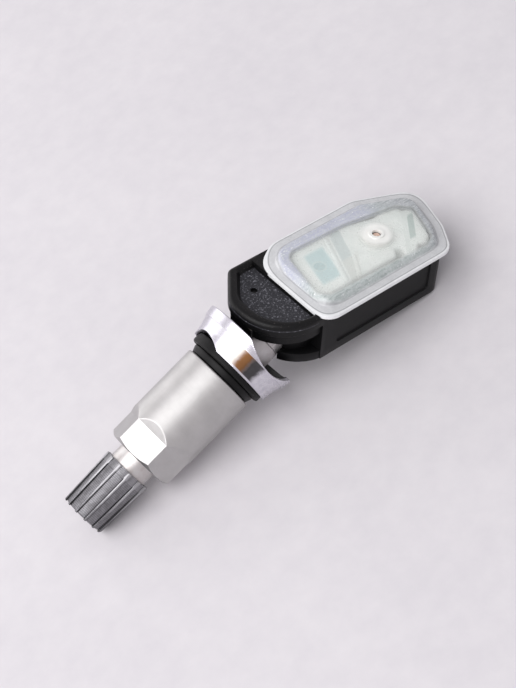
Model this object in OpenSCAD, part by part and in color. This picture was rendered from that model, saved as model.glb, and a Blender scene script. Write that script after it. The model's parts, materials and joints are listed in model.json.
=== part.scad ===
// Tyre pressure sensor with a clamp-in metal valve, lying as it comes to rest.
// Millimetres. X runs from the cap to the sensor's tail, Z is up, the floor is Z = 0.
// Housing frame: x towards the tail, y across, z up out of the cover, z = 0 on the cover's rim.
// Valve frame: z outwards along the stem from the swivel axis, x up, y across.

/* [Pose] */
// Angle of the valve below the housing's long axis
valve_tilt = 27.7; // [24:0.1:32]
// How far the valve can swivel further down
swivel_range = 12; // [4:1:14]

/* [Housing] */
// Width of the housing across its two long sides
housing_w = 20.7; // [20.3:0.1:22]
// Depth of the housing's bottom below the cover's rim
bottom_depth = 12.2; // [11.6:0.1:13]
// Wall of the electronics tub
tub_wall = 1.5; // [1.2:0.1:1.5]
// Floor of the electronics tub
tub_floor = 1.4; // [1:0.1:1.6]
// Width of the ledge that carries the board
ledge_w = 0.6; // [0.4:0.1:0.6]
// Tub's front face, behind the slot
tub_front_x = -1; // [-1.2:0.1:-0.6]
// End of the straight near side
near_end_x = 30.2; // [29.5:0.1:31]
// Middle corner of the tail
tail_mid_x = 33; // [32.6:0.1:33.6]
tail_mid_y = -5.7; // [-6.5:0.1:-5]
// Far corner of the tail
tail_far_x = 36.2; // [35.5:0.1:37]
tail_far_y = 4.6; // [4:0.1:5.5]
// Where the far side bends in towards the tail
kink_x = 22.7; // [21.5:0.1:24]
// Chamfered far front corner of the tub
front_corner_x = 4.4; // [3.5:0.1:5.5]
front_corner_y = 7; // [6:0.1:8]
// Chamfer along the bottom edge
bottom_chamfer = 0.4; // [0.3:0.1:1]
// Depth of the shallow panel in the near side
side_panel_depth = 0.3; // [0.2:0.05:0.5]

/* [Nose] */
// Reach of the nose ahead of x = 0
nose_reach = 12.75; // [12.4:0.05:13.2]
// Radius of the nose's near corner
nose_r = 10.2; // [9:0.1:10.2]
// Height of the nose's raised rim below the cover's rim plane
rim_top_depth = 0.25; // [0.1:0.05:0.5]
// Width of the rim in front of the pocket, and beside it
rim_front_w = 1.7; // [1.4:0.1:1.9]
rim_side_w = 0.9; // [0.8:0.05:1.3]
// How far the pocket's wall slopes in, in front and beside
slope_front = 1.1; // [0.8:0.1:1.4]
slope_side = 1.2; // [0.6:0.1:1.4]
// Radius of the pocket's near corner at its top edge and at its floor
pocket_r = 9.4; // [9.3:0.1:9.8]
floor_r = 6.6; // [6:0.1:8]
// Depth of the grained pocket below the rim
pocket_depth = 1.25; // [0.9:0.05:1.5]
// Depth of the band's upper edge, and how far the band is set in
band_depth = 3; // [2.6:0.1:3.4]
band_inset = 0.55; // [0.4:0.05:0.8]
// Small blind mark in the pocket
mark_r = 0.7; // [0.4:0.1:1]

/* [Slot] */
// Depth of the slot's upper face below the cover's rim
slot_top_depth = 5.4; // [5.2:0.1:5.6]
// Height of the slot
slot_h = 4.5; // [4.3:0.1:4.7]
// How deep the slot runs in to the web, in front and beside, and the web's corner radius
slot_in = 6.1; // [5.6:0.1:6.3]
slot_side_in = 2.9; // [2.4:0.1:3]
web_r = 4.5; // [3.5:0.5:5]
// How far the lower lip stands back from the nose's front, and its corner radius
lip_back = 4.1; // [3.6:0.1:4.6]
lip_r = 9.7; // [8:0.1:9.9]
// Flat boss on the upper lip: width and how far it stands out
boss_w = 6; // [5:0.5:8]
boss_out = 0.15; // [0.1:0.05:0.25]

/* [Swivel] */
// Swivel axis, behind the nose's front
pivot_back = 9.5; // [9.3:0.1:9.7]
// Radius and length of the cross barrel
barrel_r = 1.6; // [1.4:0.05:1.7]
barrel_len = 12.2; // [11.6:0.1:12.4]
// Radial clearance of the barrel in its bore
barrel_gap = 0.06; // [0.04:0.01:0.09]
// Foot: thick shoulder and neck
shoulder_r = 4.95; // [4.8:0.05:5]
shoulder_start = 5.1; // [5.1:0.1:5.4]
neck_r = 4.4; // [4:0.1:4.5]
neck_start = 3; // [2.8:0.1:3.2]
// Room beside the foot in the nose
foot_gap = 0.3; // [0.25:0.05:0.4]

/* [Saddle] */
// Distance of the saddle's housing side from the swivel axis
saddle_start = 7; // [7:0.1:7.4]
// Length of the saddle along the stem
saddle_len = 6.2; // [5.8:0.1:6.8]
// Radius on the housing side and on the rim side
saddle_r_in = 10.45; // [10:0.05:10.9]
saddle_r_out = 9.05; // [8.9:0.05:9.3]
// Width and height of the band's small step
saddle_band = 2.1; // [1.8:0.1:2.5]
saddle_step = 0.2; // [0.08:0.01:0.24]
// Depth and wall of the hollow on the housing side
hollow_depth = 2.5; // [2.2:0.1:2.8]
saddle_wall = 1.2; // [1:0.1:1.5]
// Depth of the recess for the grommet
grommet_seat = 1.05; // [0.9:0.05:1.2]
// Half width and depth of the arches on the rim side
arch_half = 4.8; // [4:0.1:5.5]
arch_depth = 1.6; // [1.2:0.1:2]
// Half width and depth of the scallops on the housing side
scallop_half = 6.6; // [6:0.1:8]
scallop_depth = 2.2; // [1.2:0.1:2.3]
// Turn of the saddle on the stem
saddle_turn = 24; // [0:1:30]

/* [Stem] */
// Threaded spigot in the foot: radius and depth
spigot_r = 3; // [2.8:0.1:3.2]
spigot_in = 4; // [3.4:0.1:4.2]
// Threaded shank, smooth neck and cap thread
shank_r = 4.95; // [4.8:0.05:5]
stem_neck_r = 4.2; // [4.1:0.05:4.3]
cap_thread_r = 3.8; // [3.7:0.05:3.85]
shank_len = 21; // [20.4:0.1:21]
cap_thread_len = 9.7; // [9.4:0.1:9.8]
// Air passage: lower bore, core bore and mouth
air_r = 1.25; // [1:0.05:1.4]
core_bore_r = 1.9; // [1.85:0.05:2]
mouth_r = 2.65; // [2.6:0.05:2.75]
// Radius of the air outlet across the foot
outlet_r = 0.6; // [0.4:0.1:0.8]

/* [Rubber and slip ring] */
// Grommet's bead radius, and how far it stands out of the saddle
bead_r = 8.45; // [8.2:0.05:8.5]
bead_out = 1.15; // [1:0.05:1.4]
// Grommet's sleeve that passes through the wheel rim
sleeve_r = 5.65; // [5.6:0.05:5.75]
sleeve_len = 3.6; // [3:0.1:3.8]
// Slip ring: thickness, outer radius at the grommet and at the nut
ring_t = 1.6; // [1.4:0.1:1.8]
ring_r_in = 7.4; // [7.2:0.05:7.5]
ring_r_out = 6.95; // [6.7:0.05:7.1]
// Running clearance of rings and threads
run_gap = 0.05; // [0.03:0.01:0.08]

/* [Nut] */
// Radius and length of the round sleeve
nut_r = 7.57; // [7.51:0.01:7.7]
nut_sleeve_len = 16.2; // [15.8:0.1:16.4]
// Length of the hexagon and its width across flats
hex_len = 5.5; // [5:0.1:5.7]
hex_af = 13; // [12.8:0.1:13.2]
// Length of the sloping run-out of each flat
hex_runout = 1.8; // [1.5:0.1:2.6]
// Turn of the hexagon about the stem
hex_turn = 17; // [0:1:59]
// Depth of the counterbore over the grommet's sleeve
nut_counterbore = 3; // [2.8:0.1:3.4]
// Inner step of the nut below its outer end
nut_step_depth = 4.2; // [4:0.1:4.3]

/* [Cap] */
// Gap between the nut and the cap
cap_gap = 2.8; // [2.6:0.1:3.2]
// Length of the cap
cap_len = 12.1; // [12:0.1:12.5]
// Radius over the ribs at the open and at the closed end
cap_r_open = 5.2; // [5.1:0.05:5.3]
cap_r_closed = 4.72; // [4.65:0.05:4.9]
// Number of ribs
cap_ribs = 12; // [8:1:16]
// Depth of the panels between the ribs
panel_in = 0.42; // [0.3:0.02:0.46]
// Rib width in degrees, on the panels and on the collar
rib_deg = 9; // [6:0.5:12]
collar_rib_deg = 17; // [13:0.5:20]
// Length of the collar at the open end
collar_len = 1.7; // [1.4:0.1:2]
// Thickness of the cap's roof
cap_roof = 1; // [0.8:0.1:1.1]
// Thickness of the seal under the roof
seal_t = 0.65; // [0.5:0.05:0.7]

/* [Valve core] */
// Core plug: radius and length
plug_r = 2.6; // [2.5:0.02:2.6]
plug_len = 3.8; // [3.5:0.1:4]
// Depth of the plug below the stem's mouth
plug_sunk = 0.3; // [0.2:0.05:0.5]
// Core barrel: radius, bore radius and length
core_r = 1.7; // [1.6:0.02:1.74]
core_bore = 0.75; // [0.7:0.05:0.85]
core_len = 5.9; // [5.6:0.1:6.2]
// Pin radius, and radius and length of its cup seal
pin_r = 0.45; // [0.4:0.05:0.5]
cup_r = 1.45; // [1.3:0.05:1.6]
cup_len = 1.6; // [1.2:0.1:1.8]
// Spring: mean radius, wire radius and turns
spring_r = 1.3; // [1.15:0.05:1.4]
spring_wire = 0.18; // [0.12:0.01:0.2]
spring_turns = 6; // [4:1:8]

/* [Cover] */
// Overhang of the cover's flange: near side, tail, far slant, far side, corner, front
over_near = 1.65; // [1:0.05:1.8]
over_tail = 1.3; // [0.8:0.1:1.6]
over_slant = 0.9; // [0.5:0.1:1.2]
over_far = 0.15; // [0.1:0.05:0.6]
over_corner = 0.6; // [0.3:0.1:1]
over_front = 1; // [0.8:0.1:1.4]
// Thickness of the flange
flange_t = 0.85; // [0.7:0.05:0.95]
// How far the dome stands in from the flange's edge
dome_in = 2.3; // [2.2:0.1:2.7]
// Height of the dome, its wall and the slope of its sides
dome_h = 1.3; // [1.2:0.1:1.6]
dome_wall = 0.9; // [0.7:0.05:0.9]
dome_slope = 0.9; // [0.6:0.1:1.2]

/* [Port] */
// Place of the pressure port
port_x = 21.6; // [21.2:0.1:22]
port_y = -0.2; // [-0.6:0.1:0.2]
// Radius of the port, of its collar and of the boss
port_r = 0.93; // [0.7:0.05:1]
port_collar_r = 1.5; // [1.4:0.05:1.7]
port_boss_r = 2.7; // [2.4:0.1:2.9]

/* [Electronics] */
// Depth of the board's top below the cover's rim, and its thickness
board_depth = 4; // [3.9:0.1:4.1]
board_t = 1; // [0.8:0.1:1.2]
// Clearance round the board
board_gap = 0.2; // [0.1:0.05:0.4]
// Height of the carrier's top above the cover's rim plane, and its walls
carrier_top = 0.2; // [0:0.05:0.25]
carrier_wall = 0.8; // [0.6:0.1:1]
// Skew of the carrier's ribs and windows
skew = 16; // [10:1:20]
// Coin cell: radius, thickness and centre
cell_r = 8; // [7.8:0.05:8.1]
cell_t = 3.2; // [3:0.1:3.4]
cell_x = 10.6; // [10.4:0.1:11.5]
// Places of the parts on the board, along the housing
chip_x = 7.8; // [7.4:0.1:8]
crystal_x = 29.2; // [28.8:0.1:29.4]
coil_x = 27; // [26.6:0.1:27.4]
radio_x = 14.2; // [13.8:0.1:14.6]
radio_w = 4; // [3:0.5:4]
// Thickness of the contact tabs
tab_t = 0.2; // [0.15:0.05:0.3]
tab_w = 3; // [2:0.5:4]

/* [Hidden] */
$fn = 64;
over = 1;             // how far cutters run past a face
cap_edge = 0.2;       // broken edge at the cap's closed end
half_w = housing_w / 2;
slot_bottom_depth = slot_top_depth + slot_h;
tub_top_depth = flange_t;
pivot_x = pivot_back - nose_reach;
pivot_z = -(slot_top_depth + slot_bottom_depth) / 2;

// Places along the valve, measured from the swivel axis
web_in = saddle_start + hollow_depth;
rim_side = saddle_start + saddle_len;
web_out = rim_side - grommet_seat;
bead_end = rim_side + bead_out;
ring_end = bead_end + ring_t;
nut_start = ring_end + run_gap;
hex_start = nut_start + nut_sleeve_len;
nut_end = hex_start + hex_len;
cap_start = nut_end + cap_gap;
cap_end = cap_start + cap_len;
shank_end = web_out + shank_len;
stem_tip = cap_end - cap_roof - seal_t - run_gap;
core_seat = stem_tip - 7.9;
plug_top = stem_tip - plug_sunk;
plug_bottom = plug_top - plug_len;
core_bottom = plug_bottom - core_len;
air_step = core_bottom - 7.9;

// Outlines: corner points run anticlockwise
function unit(v) = v / norm(v);
function edge_shift(pts, out) = let (n = len(pts)) [
    for (i = [0 : n - 1]) let (
        a = pts[(i + n - 1) % n], b = pts[i], c = pts[(i + 1) % n],
        e0 = unit(b - a), e1 = unit(c - b),
        p0 = b + [e0.y, -e0.x] * out[(i + n - 1) % n],
        p1 = b + [e1.y, -e1.x] * out[i]
    ) p0 + e0 * (cross(p1 - p0, e1) / cross(e0, e1))];
function same(d, n) = [for (i = [1 : n]) d];
function swing_at(pts, i) = let (
    n = len(pts), e0 = unit(pts[i] - pts[(i + n - 1) % n]), e1 = unit(pts[(i + 1) % n] - pts[i]),
    turn = asin(max(-1, min(1, cross(e0, e1))))
) e0 * e1 < 0 ? sign(turn) * 180 - turn : turn;
// Corners share each edge by the length that each one needs, and shrink where it is too short
function rounded(pts, radii, steps = 8) = let (
    n = len(pts),
    need = [for (i = [0 : n - 1]) max(0.001, radii[i] * abs(tan(swing_at(pts, i) / 2)))]
) [
    for (i = [0 : n - 1]) let (
        a = pts[(i + n - 1) % n], b = pts[i], c = pts[(i + 1) % n],
        e0 = unit(b - a), swing = swing_at(pts, i),
        share_in = 0.98 * norm(b - a) / (need[i] + need[(i + n - 1) % n]),
        share_out = 0.98 * norm(c - b) / (need[i] + need[(i + 1) % n]),
        r = radii[i] * min(1, share_in, share_out),
        start = b - e0 * (r * abs(tan(swing / 2))),
        centre = start + [-e0.y, e0.x] * (r * sign(swing)),
        count = r < 0.01 ? 0 : steps
    ) for (k = [0 : count]) let (t = swing * k / max(1, count), v = start - centre)
        count == 0 ? b : centre + [v.x * cos(t) - v.y * sin(t), v.x * sin(t) + v.y * cos(t)]];

tub_corners = [[tub_front_x, -half_w], [near_end_x, -half_w], [tail_mid_x, tail_mid_y],
               [tail_far_x, tail_far_y], [kink_x, half_w], [front_corner_x, half_w],
               [tub_front_x, front_corner_y]];
tub_radii = [0, 2.6, 6, 1.8, 4, 0, 0];
cover_corners = edge_shift(tub_corners,
                           [over_near, over_tail, over_tail, over_slant, over_far, over_corner, over_front]);
cover_radii = [3.6, 3.4, 8, 2.8, 5, 6, 5];
nose_corners = [[-nose_reach, -half_w], [tub_front_x + over, -half_w], [tub_front_x + over, half_w],
                [-nose_reach + 5.6, half_w], [-nose_reach, 3.4]];
nose_radii = [nose_r, 0, 0, 1.5, 7];
function nose_set(front, side) = edge_shift(nose_corners, [-side, 0, -side, -(side + front) / 2, -front]);
lower_corners = [[lip_back - nose_reach, -half_w], [tub_front_x + 3, -half_w],
                 [tub_front_x + 3, half_w], [lip_back - nose_reach, half_w]];
carrier_corners = [[2.2, -3.2], [4.2, -5.5], [21.2, -4.5], [21.4, -6.8], [24.6, -6.9], [26.2, -5.4],
                   [29.3, -5.4], [33, 2], [29.8, 4.2], [21.2, 6.2], [5.4, 6.1], [2.8, 4.2]];
carrier_radii = [1, 2, 0.8, 0.9, 0.9, 0.8, 1.2, 1.6, 1.4, 5, 1.8, 1.4];

// Support: the floor touches the tail's lower edge and the cap's end
valve_dir = [-cos(valve_tilt), 0, -sin(valve_tilt)];
valve_up = [-sin(valve_tilt), 0, cos(valve_tilt)];
pivot = [pivot_x, 0, pivot_z];
foot_edge = edge_shift(tub_corners, same(-bottom_chamfer, 7));
tail_a = [foot_edge[2].x, foot_edge[2].y, -bottom_depth];
tail_b = [foot_edge[3].x, foot_edge[3].y, -bottom_depth];
cap_foot = pivot + valve_dir * (cap_end - cap_edge) - valve_up * cap_r_closed;
floor_up = unit(cross(tail_b - tail_a, cap_foot - tail_a));
lean = atan2(floor_up.y, floor_up.z);
pitch = atan2(-floor_up.x, norm([floor_up.y, floor_up.z]));
function turned(v) = let (
    w = [v.x, v.y * cos(lean) - v.z * sin(lean), v.y * sin(lean) + v.z * cos(lean)]
) [w.x * cos(pitch) + w.z * sin(pitch), w.y, -w.x * sin(pitch) + w.z * cos(pitch)];
low_x = turned(pivot + valve_dir * cap_end + valve_up * (cap_r_closed - cap_edge)).x;
high_x = max([for (p = rounded(cover_corners, cover_radii)) turned([p.x, p.y, 0]).x]);
near_y = turned([0, cover_corners[0].y, 0]).y;
far_y = turned([0, half_w, bottom_chamfer - bottom_depth]).y;
shift = [-(low_x + high_x) / 2, -(near_y + far_y) / 2, -turned(tail_a).z];

module in_housing() translate(shift) rotate([lean, pitch, 0]) children();
module in_valve() in_housing() translate(pivot) rotate([0, -90 - valve_tilt, 0]) children();
module slab(pts, low, high) translate([0, 0, low]) linear_extrude(high - low) polygon(pts);
module ring(r_out, r_in, low, high) translate([0, 0, low]) difference() {
    cylinder(r = r_out, h = high - low);
    translate([0, 0, -over]) cylinder(r = r_in, h = high - low + 2 * over);
}
module disc(r, low, high) translate([0, 0, low]) cylinder(r = r, h = high - low);
module across(r, length) rotate([90, 0, 0]) cylinder(r = r, h = length, center = true);

module outlet(reach) rotate([0, 90, 0]) cylinder(r = outlet_r, h = 2 * reach, center = true);

// Swept side view of the foot between its two limits, about the swivel axis
function along(a, s, n) = [-s * cos(a) - n * sin(a), -s * sin(a) + n * cos(a)];
module swept(half, side) translate([pivot_x, 0, pivot_z]) rotate([90, 0, 0])
    linear_extrude(2 * half, center = true) polygon(side);
module foot_room() {
    low = valve_tilt + swivel_range;
    tongue = barrel_r + foot_gap;
    room = neck_r + foot_gap;
    wide = shoulder_r + foot_gap;
    step = neck_start - foot_gap;
    far_step = shoulder_start - foot_gap;
    reach = 16;
    swept(room, [
        along(valve_tilt, 0, tongue), along(valve_tilt, step, tongue), along(valve_tilt, step, room),
        along(valve_tilt, reach, room), along(low, reach, -room), along(low, step, -room),
        along(low, step, -tongue), along(low, 0, -tongue)]);
    swept(wide, [along(valve_tilt, far_step, wide), along(valve_tilt, reach, wide),
                 along(low, reach, -wide), along(low, far_step, -wide)]);
}

module nose_upper() {
    outline = rounded(nose_corners, nose_radii, 14);
    band = rounded(nose_set(band_inset, band_inset), nose_radii, 14);
    hull() {
        slab(outline, -rim_top_depth - 1.1, -rim_top_depth - 1);
        slab(rounded(nose_set(0.25, 0.25), nose_radii, 14), -rim_top_depth - 0.45, -rim_top_depth - 0.4);
        slab(rounded(nose_set(0.9, 0.9), nose_radii, 14), -rim_top_depth - 0.1, -rim_top_depth);
    }
    slab(outline, -band_depth, -rim_top_depth - 1);
    slab(band, -slot_top_depth, -band_depth + 0.2);
    translate([-nose_reach + band_inset - boss_out, -boss_w / 2, -slot_top_depth])
        cube([2, boss_w, slot_top_depth - band_depth]);
}
module nose_web() slab(rounded(nose_set(slot_in, slot_side_in), [web_r, 0, 0, 1, web_r]),
                       -slot_bottom_depth - 0.2, -slot_top_depth + 0.2);
// Outline of the pocket at its top edge, moved in by the given slopes for its floor
function pocket_set(front, side) = edge_shift(nose_corners, [
    -rim_side_w - side, -over - 1.1, -rim_side_w - side,
    -(rim_side_w + rim_front_w + side + front) / 2, -rim_front_w - front]);
module pocket() hull() {
    slab(rounded(pocket_set(0, 0), [pocket_r, 0, 0, 1, 5.6], 14), -rim_top_depth, over);
    slab(rounded(pocket_set(slope_front, slope_side), [floor_r, 0, 0, 1, 4.2], 14),
         -rim_top_depth - pocket_depth, -rim_top_depth - pocket_depth + 0.05);
}
module nose_lower() {
    radii = [lip_r, 0, 0, lip_r];
    slab(rounded(lower_corners, radii, 14), -bottom_depth + bottom_chamfer, -slot_bottom_depth);
    hull() {
        slab(rounded(lower_corners, radii, 14),
             -bottom_depth + bottom_chamfer, -bottom_depth + bottom_chamfer + 0.1);
        slab(rounded(edge_shift(lower_corners, [-bottom_chamfer, 0, -bottom_chamfer, -bottom_chamfer]),
                     radii, 14), -bottom_depth, -bottom_depth + 0.1);
    }
}
module tub_body() {
    slab(rounded(tub_corners, tub_radii), -bottom_depth + bottom_chamfer, -tub_top_depth);
    hull() {
        slab(rounded(tub_corners, tub_radii), -bottom_depth + bottom_chamfer,
             -bottom_depth + bottom_chamfer + 0.1);
        slab(rounded(edge_shift(tub_corners, concat(same(-bottom_chamfer, 6), [0])), tub_radii),
             -bottom_depth, -bottom_depth + 0.1);
    }
}

module housing() color([0.09, 0.09, 0.1]) in_housing() {
    inner = edge_shift(tub_corners, same(-tub_wall, 7));
    lower = edge_shift(tub_corners, same(-tub_wall - ledge_w, 7));
    difference() {
        union() {
            tub_body();
            nose_upper();
            nose_web();
            nose_lower();
        }
        slab(rounded(inner, tub_radii), -board_depth - board_t, over);
        slab(rounded(lower, tub_radii), -bottom_depth + tub_floor, -board_depth);
        slab(rounded(edge_shift(cover_corners, same(0.1, 7)), cover_radii), -tub_top_depth, over);
        pocket();
        translate([pivot_x - 2.9, 3.7, -rim_top_depth - pocket_depth - 0.5]) cylinder(r = mark_r, h = 2);
        translate([pivot_x, 0, pivot_z]) across(barrel_r + barrel_gap, barrel_len + 0.4);
        foot_room();
        side_panel();
    }
}
// Shallow label panel in the near side
module side_panel() translate([3.2, -half_w - over, -bottom_depth + 2.4])
    cube([near_end_x - 6.2, over + side_panel_depth, bottom_depth - tub_top_depth - 3.6]);

module cover() color([0.86, 0.9, 0.92, 0.45]) in_housing() {
    n = same(-dome_in, 7);
    steep = same(-dome_in - dome_slope, 7);
    hollow = same(-dome_in - dome_wall, 7);
    hollow_top = same(-dome_in - dome_wall - dome_slope * 0.8, 7);
    difference() {
        union() {
            slab(rounded(cover_corners, cover_radii), -flange_t, 0);
            hull() {
                slab(rounded(edge_shift(cover_corners, n), cover_radii), -0.1, dome_h * 0.55);
                slab(rounded(edge_shift(cover_corners, steep), cover_radii), dome_h - 0.1, dome_h);
            }
            translate([port_x, port_y, dome_h - 0.1]) cylinder(r = port_collar_r, h = 0.3);
        }
        hull() {
            slab(rounded(edge_shift(cover_corners, hollow), cover_radii), -flange_t - over, -flange_t + 0.1);
            slab(rounded(edge_shift(cover_corners, hollow_top), cover_radii),
                 dome_h - dome_wall - 0.1, dome_h - dome_wall);
        }
        translate([port_x, port_y, -over]) cylinder(r = port_r, h = dome_h + 2 * over);
    }
}

// Pale carrier over the board: a shell with skewed ribs, two windows and the port's seat
module carrier() color([0.83, 0.88, 0.84]) in_housing() {
    low = -board_depth;
    top = carrier_top;
    difference() {
        union() {
            slab(rounded(carrier_corners, carrier_radii), low, top - 0.35);
            hull() {
                slab(rounded(carrier_corners, carrier_radii, 5), top - 0.4, top - 0.35);
                slab(rounded(edge_shift(carrier_corners, same(-0.3, 12)), carrier_radii, 5), top - 0.05, top);
            }
        }
        slab(rounded(edge_shift(carrier_corners, same(-carrier_wall, 12)), carrier_radii),
             low - over, top - carrier_wall);
        translate([port_x, port_y, low - over]) cylinder(r = port_boss_r + 0.1, h = board_depth + top + 2);
        translate([chip_x, -0.1, 0]) rotate([0, 0, -skew]) chip_window(0.2, top + over);
        translate([crystal_x, -0.9, 0]) rotate([0, 0, -skew])
            translate([-1, -2.1, low - over]) cube([2, 4.2, board_depth + top + 2]);
    }
    for (x = [11.1, 14.6]) translate([x, 0.4, top - 0.02]) rotate([0, 0, -skew])
        translate([-0.55, -4.9, 0]) cube([1.1, 9.8, 0.14]);
}
module chip_window(gap, high) translate([-2.4 - gap, -4 - gap, -board_depth - over])
    cube([4.8 + 2 * gap, 8 + 2 * gap, board_depth + over + high]);

module circuit_board() color([0.1, 0.38, 0.24]) in_housing()
    slab(rounded(edge_shift(tub_corners, same(-tub_wall - board_gap, 7)), tub_radii),
         -board_depth - board_t, -board_depth);
module coin_cell() color([0.78, 0.79, 0.8]) in_housing() {
    low = -bottom_depth + tub_floor + tab_t;
    translate([cell_x, 0, low]) rotate_extrude() polygon([
        [0, 0], [cell_r - 1.2, 0], [cell_r - 1, 0.35], [cell_r, 0.5], [cell_r, cell_t - 0.4],
        [cell_r - 0.4, cell_t], [0, cell_t]]);
}
module cell_tab_top() color([0.8, 0.78, 0.7]) in_housing() {
    low = -bottom_depth + tub_floor + tab_t + cell_t;
    translate([cell_x - 2, -tab_w / 2, low]) cube([cell_r - 1, tab_w, tab_t]);
    translate([cell_x - 3 + cell_r - tab_t, -tab_w / 2, low])
        cube([tab_t, tab_w, -board_depth - board_t - low]);
}
module cell_tab_bottom() color([0.8, 0.78, 0.7]) in_housing() {
    low = -bottom_depth + tub_floor;
    translate([cell_x - 2, -tab_w / 2, low]) cube([cell_r + 3, tab_w, tab_t]);
    translate([cell_x + cell_r + 1 - tab_t, -tab_w / 2, low])
        cube([tab_t, tab_w, -board_depth - board_t - low]);
}
module pressure_cell() color([0.72, 0.45, 0.3]) in_housing() translate([port_x, port_y, -board_depth]) {
    translate([-1.8, -1.8, 0]) cube([3.6, 3.6, 1.1]);
    cylinder(r = 1.6, h = 1.5);
}
module port_gasket() color([0.95, 0.95, 0.93]) in_housing() translate([port_x, port_y, 0])
    difference() {
        ring(port_boss_r, port_r, -board_depth, dome_h - dome_wall);
        translate([-1.9, -1.9, -board_depth - over]) cube([3.8, 3.8, over + 1.2]);
        translate([0, 0, -board_depth - over]) cylinder(r = 1.7, h = over + 1.5);
    }
module sensor_chip() color([0.55, 0.72, 0.72]) in_housing() translate([chip_x, -0.1, 0]) rotate([0, 0, -skew])
    intersection() {
        chip_window(-0.1, -0.15);
        translate([-5, -5, -board_depth]) cube([10, 10, board_depth]);
    }
module chip_ring() color([0.7, 0.82, 0.8]) in_housing() translate([chip_x - 0.4, -0.1, 0])
    ring(1.45, 1.15, -0.15, -0.03);
module radio_chip() color([0.12, 0.12, 0.13]) in_housing()
    translate([radio_x, -radio_w / 2 - 0.6, -board_depth]) cube([radio_w, radio_w, 0.9]);
module crystal() color([0.6, 0.68, 0.62]) in_housing() translate([crystal_x, -0.9, 0]) rotate([0, 0, -skew])
    translate([-0.8, -1.9, -board_depth]) cube([1.6, 3.8, board_depth - 0.6]);
module coil_core() color([0.25, 0.25, 0.27]) in_housing() translate([coil_x, -0.5, -board_depth - board_t])
    for (part = [[0, 8, 1.1], [-3.3, 1.4, 1.5], [3.3, 1.4, 1.5]])
        translate([part[0] - part[1] / 2, -part[2], -1.5 - part[2]]) cube([part[1], 2 * part[2], 1.5 + part[2]]);
module coil_winding() color([0.7, 0.4, 0.2]) in_housing()
    translate([coil_x, -0.5, -board_depth - board_t - 1.5]) difference() {
        cube([5, 2.8, 2.8], center = true);
        cube([6, 2.24, 2.24], center = true);
        translate([0, 0, 1.12]) cube([6, 2.24, 2.24], center = true);
    }
module loop_antenna() color([0.75, 0.76, 0.75]) in_housing() {
    outer = edge_shift(tub_corners, same(-tub_wall - board_gap - 0.2, 7));
    inner = edge_shift(tub_corners, same(-tub_wall - board_gap - 0.7, 7));
    difference() {
        slab(rounded(outer, tub_radii), -board_depth, -board_depth + 1.4);
        slab(rounded(inner, tub_radii), -board_depth - over, 0);
        translate([15, 5, -board_depth - over]) cube([4, 8, 4]);
    }
}
module capacitors() color([0.62, 0.5, 0.36]) in_housing()
    for (i = [0 : 4]) translate([14.6 + (i % 3) * 1.5, 3 + floor(i / 3) * 1.4, -board_depth])
        cube([0.8, 0.6, 0.5]);

module swivel_foot() color([0.72, 0.72, 0.72]) in_valve() difference() {
    union() {
        across(barrel_r, barrel_len);
        intersection() {
            disc(neck_r, -over, shoulder_start);
            translate([-barrel_r, -neck_r, 0]) cube([2 * barrel_r, 2 * neck_r, shoulder_start]);
        }
        disc(neck_r, neck_start, shoulder_start + 0.2);
        disc(shoulder_r, shoulder_start, web_in);
    }
    disc(spigot_r, web_in - spigot_in, web_in + over);
    translate([0, 0, web_in - 1.1]) outlet(shoulder_r + 1);
}

module saddle() color([0.82, 0.82, 0.84]) in_valve() difference() {
    arch_r = (arch_half * arch_half + arch_depth * arch_depth) / (2 * arch_depth);
    scallop_r = (scallop_half * scallop_half + scallop_depth * scallop_depth) / (2 * scallop_depth);
    r_mid = saddle_r_in - 0.3;
    rotate_extrude($fn = 96) polygon([
        [spigot_r + run_gap, web_in], [saddle_r_in - saddle_wall - 0.3, web_in],
        [saddle_r_in - saddle_wall, web_in - 0.4],
        [saddle_r_in - saddle_wall, saddle_start], [saddle_r_in - 0.15, saddle_start],
        [saddle_r_in, saddle_start + 0.2], [r_mid, saddle_start + saddle_band],
        [r_mid - saddle_step, saddle_start + saddle_band], [saddle_r_out + 0.35, rim_side - 2.2],
        [saddle_r_out + 0.05, rim_side - 0.5], [saddle_r_out - 0.1, rim_side],
        [bead_r + 0.15, rim_side], [bead_r + 0.15, web_out], [spigot_r + run_gap, web_out]]);
    rotate([0, 0, saddle_turn]) {
        translate([0, 0, rim_side + arch_r - arch_depth]) rotate([0, 90, 0])
            cylinder(r = arch_r, h = 3 * saddle_r_in, center = true);
        translate([0, 0, saddle_start + scallop_depth - scallop_r])
            rotate([90, 0, 0]) cylinder(r = scallop_r, h = 3 * saddle_r_in, center = true, $fn = 128);
    }
}

module valve_stem() color([0.8, 0.8, 0.81]) in_valve() difference() {
    thread_start = stem_tip - cap_thread_len;
    rotate_extrude() polygon([
        [air_r, web_in - spigot_in + 0.1], [spigot_r - 0.02, web_in - spigot_in + 0.1],
        [spigot_r - 0.02, web_out], [shank_r, web_out], [shank_r, shank_end - 0.5],
        [stem_neck_r, shank_end + 0.25], [stem_neck_r, thread_start - 0.3],
        [cap_thread_r, thread_start], [cap_thread_r, stem_tip - 0.5],
        [cap_thread_r - 0.5, stem_tip], [mouth_r, stem_tip], [mouth_r, core_seat + 1.3],
        [core_bore_r, core_seat], [core_bore_r, air_step], [air_r, air_step]]);
    translate([0, 0, web_in - 1.1]) outlet(spigot_r + 1);
}
module rubber_grommet() color([0.05, 0.05, 0.05]) in_valve() rotate_extrude() polygon([
    [shank_r, web_out], [bead_r - 0.35, web_out], [bead_r, web_out + 0.4], [bead_r, bead_end - 0.35],
    [bead_r - 0.35, bead_end], [sleeve_r, bead_end], [sleeve_r, bead_end + sleeve_len - 0.4],
    [sleeve_r - 0.3, bead_end + sleeve_len], [shank_r, bead_end + sleeve_len]]);

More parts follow.
